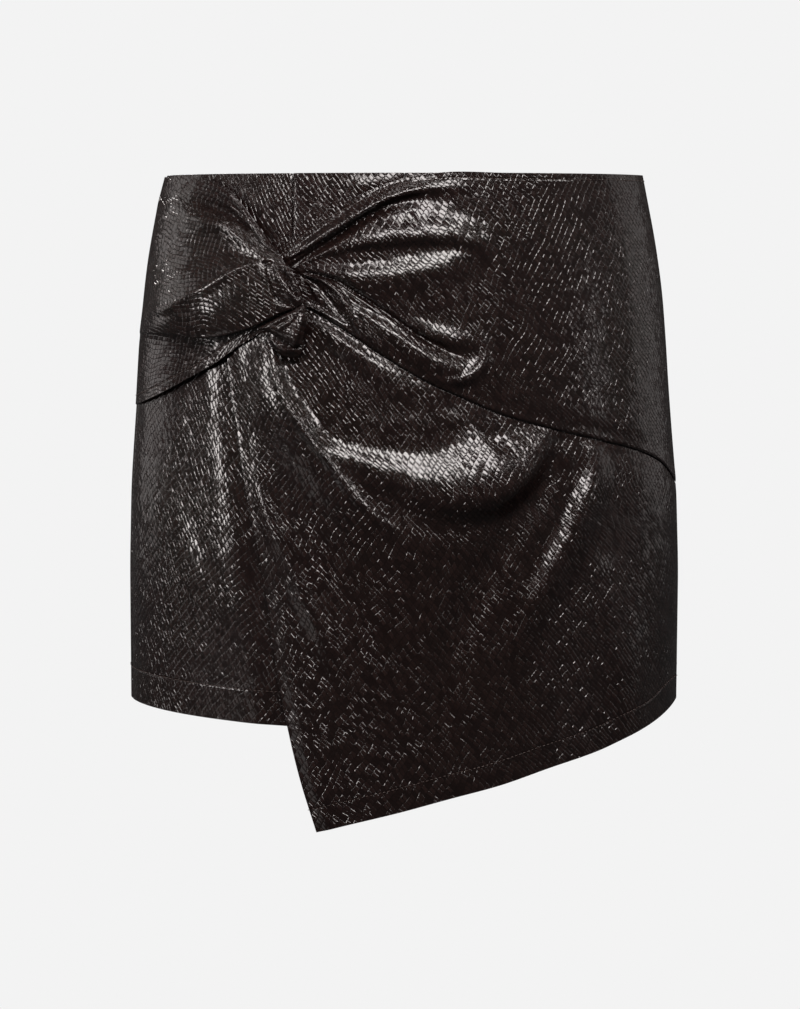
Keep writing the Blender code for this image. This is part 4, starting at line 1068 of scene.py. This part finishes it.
SASH_FOLDS = {
    "first pleat": ((-121, -5, 0.3, 1.5, 2.5), (-111, -9, 1.2, 1.5, 2.8), (-103, -14, 2, 1.6, 3),
        (-97, -20, 2.2, 1.7, 3), (-91, -28, 2.2, 1.7, 3), (-85, -36, 1.8, 1.5, 2.5),
        (-79, -43, 1, 1.2, 2)),
    "second pleat": ((-120, -9, 0.3, 1.5, 2.5), (-110, -14, 1.2, 1.5, 3), (-102, -20, 1.9, 1.6, 3),
        (-95, -27, 2.1, 1.7, 3), (-89, -34, 2, 1.7, 2.8), (-82, -41.5, 1.6, 1.4, 2.2),
        (-76, -46, 0.8, 1.2, 1.6)),
    "pleat hollow": ((-124, -16, -1, 5, 5), (-112, -21, -2.6, 6, 4), (-102, -25, -3, 5, 3),
        (-94, -31, -2.4, 3.5, 2.5), (-86, -39, -1.2, 2, 2)),
    "fold line": ((-134, -22, 0.1, 2, 6), (-126, -25.5, 0.7, 2.2, 7), (-119, -27.5, 1.2, 2.2, 8),
        (-109, -28.5, 1.4, 2.2, 8), (-99, -30, 1.4, 2.2, 7), (-91, -35, 1.2, 2, 5),
        (-83, -42, 0.9, 1.8, 3.5), (-76, -47, 0.4, 1.4, 2)),
    "crest line": ((-156, -83, 0.2, 3, 4), (-143, -79.5, 1, 3, 5), (-128, -72, 1.4, 3, 6),
        (-116, -65.5, 1.5, 3, 6), (-106, -60, 1.4, 3, 6), (-94, -55, 1.2, 2.6, 5),
        (-84, -51.5, 0.8, 2.2, 3.5), (-77, -50, 0.3, 2, 2)),
    "knot roll": ((-76, -52, 0.4, 3, 3), (-74.5, -57, 2, 4, 4), (-72, -63, 2.8, 4.6, 4.4),
        (-68, -70, 2.6, 4.6, 4.4), (-62, -76, 0.8, 3, 3)),
    "roll crease": ((-81, -55, -0.5, 2, 2), (-80, -62, -1.8, 2, 1.6), (-77.5, -69, -2, 2, 1.6),
        (-73.5, -75, -1.6, 2, 1.6), (-66, -78, -0.4, 1.5, 1.5)),
    "knot pleat": ((-70.5, -53, 0.4, 1.4, 1.4), (-68, -58, 1.8, 1.8, 1.8), (-65, -64, 2, 1.9, 1.9),
        (-62, -70, 1.6, 1.8, 1.8), (-59.5, -75.5, 0.5, 1.2, 1.2)),
    "pleat seam": ((-72, -55, -0.6, 1, 1), (-69.5, -60, -1.6, 1.3, 1.3),
        (-66.5, -66.5, -1.8, 1.3, 1.3), (-62.5, -73, -1, 1.1, 1.1)),
    "side drag": ((-150, -60, 0.2, 5, 5), (-140, -62, 0.9, 6, 6), (-128, -58, 1, 6, 6),
        (-116, -52, 0.4, 5, 5)),
}
SASH_GRAIN = 34
SASH_LENGTH = 120         # rough length, for the mesh's steps along it
SASH_STITCH = 5.0         # from the lower edge to its stitch line
SASH_ROWS = 128           # of the mesh between its two edges
ROW_EDGES = np.array((0.0, 0.02, 0.05))     # finer rows at both edges, counted in lines
ROW_START = 0.1
UPPER_END = 6.6           # the folds end at this line, the fold edge, over this width
UPPER_FADE = 0.4
LOWER_START = 70          # the layer below has only rows from this one on
UPPER_AWAY = 40.0         # mm, which keeps the stitch line off the upper layer

along = graded(SASH_LENGTH, 1.0)
lines = np.array([smooth_line(points, along) for points in SASH_LINES])
last = len(lines) - 1
places = np.concatenate([ROW_EDGES, np.linspace(ROW_START, last - ROW_START, SASH_ROWS),
                         last - ROW_EDGES[::-1]])
index = np.minimum(places.astype(int), last - 1)
t = (places - index)[:, None, None]
before, first = lines[np.maximum(index - 1, 0)], lines[index]
second, after = lines[index + 1], lines[np.minimum(index + 2, last)]
loft = (first + (second - before) * t / 2
        + (2 * before - 5 * first + 4 * second - after) * t ** 2 / 2
        + (3 * first - before - 3 * second + after) * t ** 3 / 2)
x, z, height = loft[..., 0], loft[..., 1], loft[..., 2]
upper = ease((UPPER_END - places)[:, None] / UPPER_FADE)
points = over_front(x, z, height + upper * folded(x, z, SASH_FOLDS))
to_lower = distance_to(x, z, SASH_LINES[-1]) + UPPER_AWAY * upper
sash = cloth("knotted_sash", points, SASH_GRAIN, to_lower - SASH_STITCH, len(along) // 2)
lower = slice(LOWER_START, None)
sash_stitches = topstitch("sash_topstitching", [line_at(
    points[lower], outwards(points)[lower], -to_lower[lower], -SASH_STITCH)])
on_skort(sash, sash_stitches)
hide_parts("sash")


# ---------------------------------------------------------------- the end of the knot
# The sash's end shows below the knot as a short stuffed corner of folded cloth.

# Outlines of its two layers, the upper flap and the lip that shows below it.
KNOT_FLAP = ((-86, -91), (-80.5, -88), (-76, -85.6), (-65.4, -80.5), (-58.5, -77.4),
    (-56.8, -83.1), (-58.4, -92.5), (-61.2, -101.2), (-63.5, -101.5), (-68.5, -98.8), (-75, -95),
    (-80.5, -92.8))
KNOT_LIP = ((-80.5, -92.5), (-79.5, -98.5), (-75, -104.6), (-68, -108), (-62, -107.2),
    (-58.5, -101), (-61, -94), (-70, -92))
KNOT_FOLDS = {
    "upper edge": ((-84, -90.4, 0.2, 1.2, 2.5), (-76, -86.8, 1.2, 1.4, 3),
        (-67, -82.6, 1.5, 1.4, 3), (-60, -79.2, 0.8, 1.2, 2)),
    "first ray": ((-60.5, -80, 0.3, 1.2, 1.2), (-66, -86, 0.9, 1.8, 2.2),
        (-73, -91, 0.6, 2.2, 2.6)),
    "flap ridge": ((-59.5, -81, 0.4, 1.5, 3), (-61, -88, 1.9, 3, 6), (-62.5, -94.5, 2.5, 3, 7.5),
        (-63.5, -99.5, 1.3, 2.5, 5)),
}
LIP_FOLDS = {
    "lip edge": ((-79, -97, 0.4, 1.4, 3), (-75.5, -100, 1.3, 1.6, 4), (-68.6, -103.2, 1.6, 1.7, 4),
        (-62.3, -102.8, 1.2, 1.6, 3.5)),
}
KNOT_LAYERS = (
    # outline, height of its middle, thickness, folds
    (KNOT_FLAP, 14.0, 7.5, KNOT_FOLDS),
    (KNOT_LIP, 10.2, 5.0, LIP_FOLDS),
)
KNOT_POINTS = 120         # of the mesh round an outline, and its rings from pole to pole
KNOT_RINGS = 49
FOLD_FADE = 1.2           # over this height the folds end at the outline
KNOT_GRAIN = (0.85, 0.5)  # turns the scales on the knot

body = bmesh.new()
for outline, height, thick, folds in KNOT_LAYERS:
    outline = smooth_line(outline + outline[:1], np.linspace(0, 1, KNOT_POINTS, endpoint=False))
    centre = outline.mean(axis=0)
    rings = []
    for share in np.linspace(0, math.pi, KNOT_RINGS):
        x, z = (centre + (outline - centre) * math.sin(share)).T
        lift = thick / 2 * math.cos(share)
        fold_height = folded(x, z, folds) * ease(lift / FOLD_FADE)
        rings.append(over_front(x, z, height + lift + fold_height))
    levels = [[body.verts.new(point * MM) for point in ring] for ring in rings[1:-1]]
    poles = [body.verts.new(rings[end].mean(axis=0) * MM) for end in (0, -1)]
    for number in range(KNOT_POINTS):
        after = (number + 1) % KNOT_POINTS
        body.faces.new((poles[0], levels[0][after], levels[0][number]))
        body.faces.new((poles[1], levels[-1][number], levels[-1][after]))
        for near, far in zip(levels, levels[1:]):
            body.faces.new((near[number], near[after], far[after], far[number]))
bmesh.ops.recalc_face_normals(body, faces=body.faces)
flat_map = body.loops.layers.uv.new("Cloth")
for face in body.faces:
    for corner in face.loops:
        place, (along, aside) = corner.vert.co / MM, KNOT_GRAIN
        corner[flat_map].uv = (place.x * along + place.z * aside, place.z * along - place.x * aside)
knot = finished("knot_end", body, COATING)
mark_stitches(knot.data, NO_STITCH)
on_skort(knot)
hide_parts("knot_loop")


# ---------------------------------------------------------------- the studio
# A pale floor well below the hem, soft lamps and the photograph's camera. Sizes here
# are in metres.

FLOOR_Z = -0.62
FLOOR_HALF = 30
PALE = linear("#f3f3f3")
FLOOR_GLOW = 0.06         # what the floor gives the garment
ROOM_SIDE = (0.3, 0.98)   # how far aside a reflection looks, from dark to light
ROOM_LIGHT = (0.03, 0.15)
WARM_ROOM = (1.0, 0.93, 0.9, 1.0)
LAMP_WHITE = (1.0, 0.94, 0.92)
LAMPS_LOOK_AT = Vector((0, 0, -0.18))

# Matt pale paint, which fades into the backdrop's own light.
paint = bpy.data.materials.new("pale_floor_paint")
paint.use_nodes = True
tree = paint.node_tree
tree.nodes.remove(tree.nodes["Principled BSDF"])
seen = add_node(tree, "ShaderNodeLightPath", output="Is Camera Ray")
glow = add_node(tree, "ShaderNodeMath", {0: seen, 1: FLOOR_GLOW}, operation="MAXIMUM")
light = add_node(tree, "ShaderNodeEmission", {"Color": PALE, "Strength": glow})
connect(tree, tree.nodes["Material Output"], {"Surface": light})

ground = bpy.data.meshes.new("floor")
ground.from_pydata([(x * FLOOR_HALF, y * FLOOR_HALF, FLOOR_Z)
                    for x, y in ((-1, -1), (1, -1), (1, 1), (-1, 1))], [], [(0, 1, 2, 3)])
ground.materials.append(paint)
new_object("floor", ground)

world = bpy.data.worlds.new("studio")
bpy.context.scene.world = world
world.use_nodes = True
tree = world.node_tree
tree.nodes.clear()
seen = add_node(tree, "ShaderNodeLightPath", output="Is Camera Ray")
direction = add_node(tree, "ShaderNodeTexCoord", output="Generated")
aside = add_node(tree, "ShaderNodeSeparateXYZ", {0: direction})
aside = add_node(tree, "ShaderNodeMath", {0: aside}, operation="ABSOLUTE")
room = add_node(tree, "ShaderNodeMapRange", {
    "Value": aside, "From Min": ROOM_SIDE[0], "From Max": ROOM_SIDE[1],
    "To Min": ROOM_LIGHT[0], "To Max": ROOM_LIGHT[1]})
dim = add_node(tree, "ShaderNodeBackground", {"Color": WARM_ROOM, "Strength": room})
pale = add_node(tree, "ShaderNodeBackground", {"Color": PALE, "Strength": 1.0})
either = add_node(tree, "ShaderNodeMixShader", {0: seen, 1: dim, 2: pale})
add_node(tree, "ShaderNodeOutputWorld", {0: either})

LAMPS = {
    # name: place, width and height, power
    "top_softbox": ((0.12, -1.4, 1.0), (1.3, 0.45), 32),
    "top_softbox_left": ((-1.4, -0.8, 1.05), (0.5, 0.35), 6),
    "top_softbox_right": ((1.4, -0.8, 1.05), (0.5, 0.35), 6),
    "overhead_softbox": ((0.0, -0.55, 1.75), (0.9, 0.5), 5),
    "left_softbox": ((-1.74, -0.79, 0.1), (0.36, 0.6), 11),
    "left_low_fill": ((-0.66, -0.35, -0.56), (0.3, 0.3), 0.22),
    "right_softbox": ((1.7, -0.75, 0.0), (0.2, 0.3), 0.5),
    "left_fill": ((-1.75, 0.8, 0.25), (1.0, 1.2), 3.4),
    "right_fill": ((1.75, 0.8, 0.25), (1.0, 1.2), 1.8),
    "back_softbox": ((-0.12, 1.4, 1.0), (1.3, 0.45), 32),
    "back_overhead_softbox": ((0.0, 0.6, 1.75), (0.9, 0.5), 5),
}
for name, (place, size, power) in LAMPS.items():
    lamp = bpy.data.lights.new(name, "AREA")
    lamp.shape = "RECTANGLE"
    lamp.size, lamp.size_y = size
    lamp.energy = power
    lamp.color = LAMP_WHITE
    made = new_object(name, lamp)
    made.location = place
    made.rotation_euler = (LAMPS_LOOK_AT - Vector(place)).to_track_quat("-Z", "Y").to_euler()
    made.visible_camera = False

CAMERA_AWAY = 2.0         # in front of the garment's middle
CAMERA_X, CAMERA_Z = -0.0026, -0.040
METRES_PER_PIXEL = 0.62e-3      # at the garment's middle
WIDTH, HEIGHT = 800, 1009
HORIZON = 241.0           # row of the photograph at the camera's own height
SENSOR = 36.0             # mm
lens = bpy.data.cameras.new("camera")
lens.sensor_fit = "HORIZONTAL"
lens.sensor_width = SENSOR
lens.lens = SENSOR * CAMERA_AWAY / (WIDTH * METRES_PER_PIXEL)
camera = new_object("camera", lens)
camera.location = (CAMERA_X, -CAMERA_AWAY, CAMERA_Z)
pitch = math.atan((HEIGHT / 2 - HORIZON) * METRES_PER_PIXEL / CAMERA_AWAY)
camera.rotation_euler = (math.pi / 2 - pitch, 0.0, 0.0)
bpy.context.scene.camera = camera
bpy.context.scene.view_settings.view_transform = "Standard"
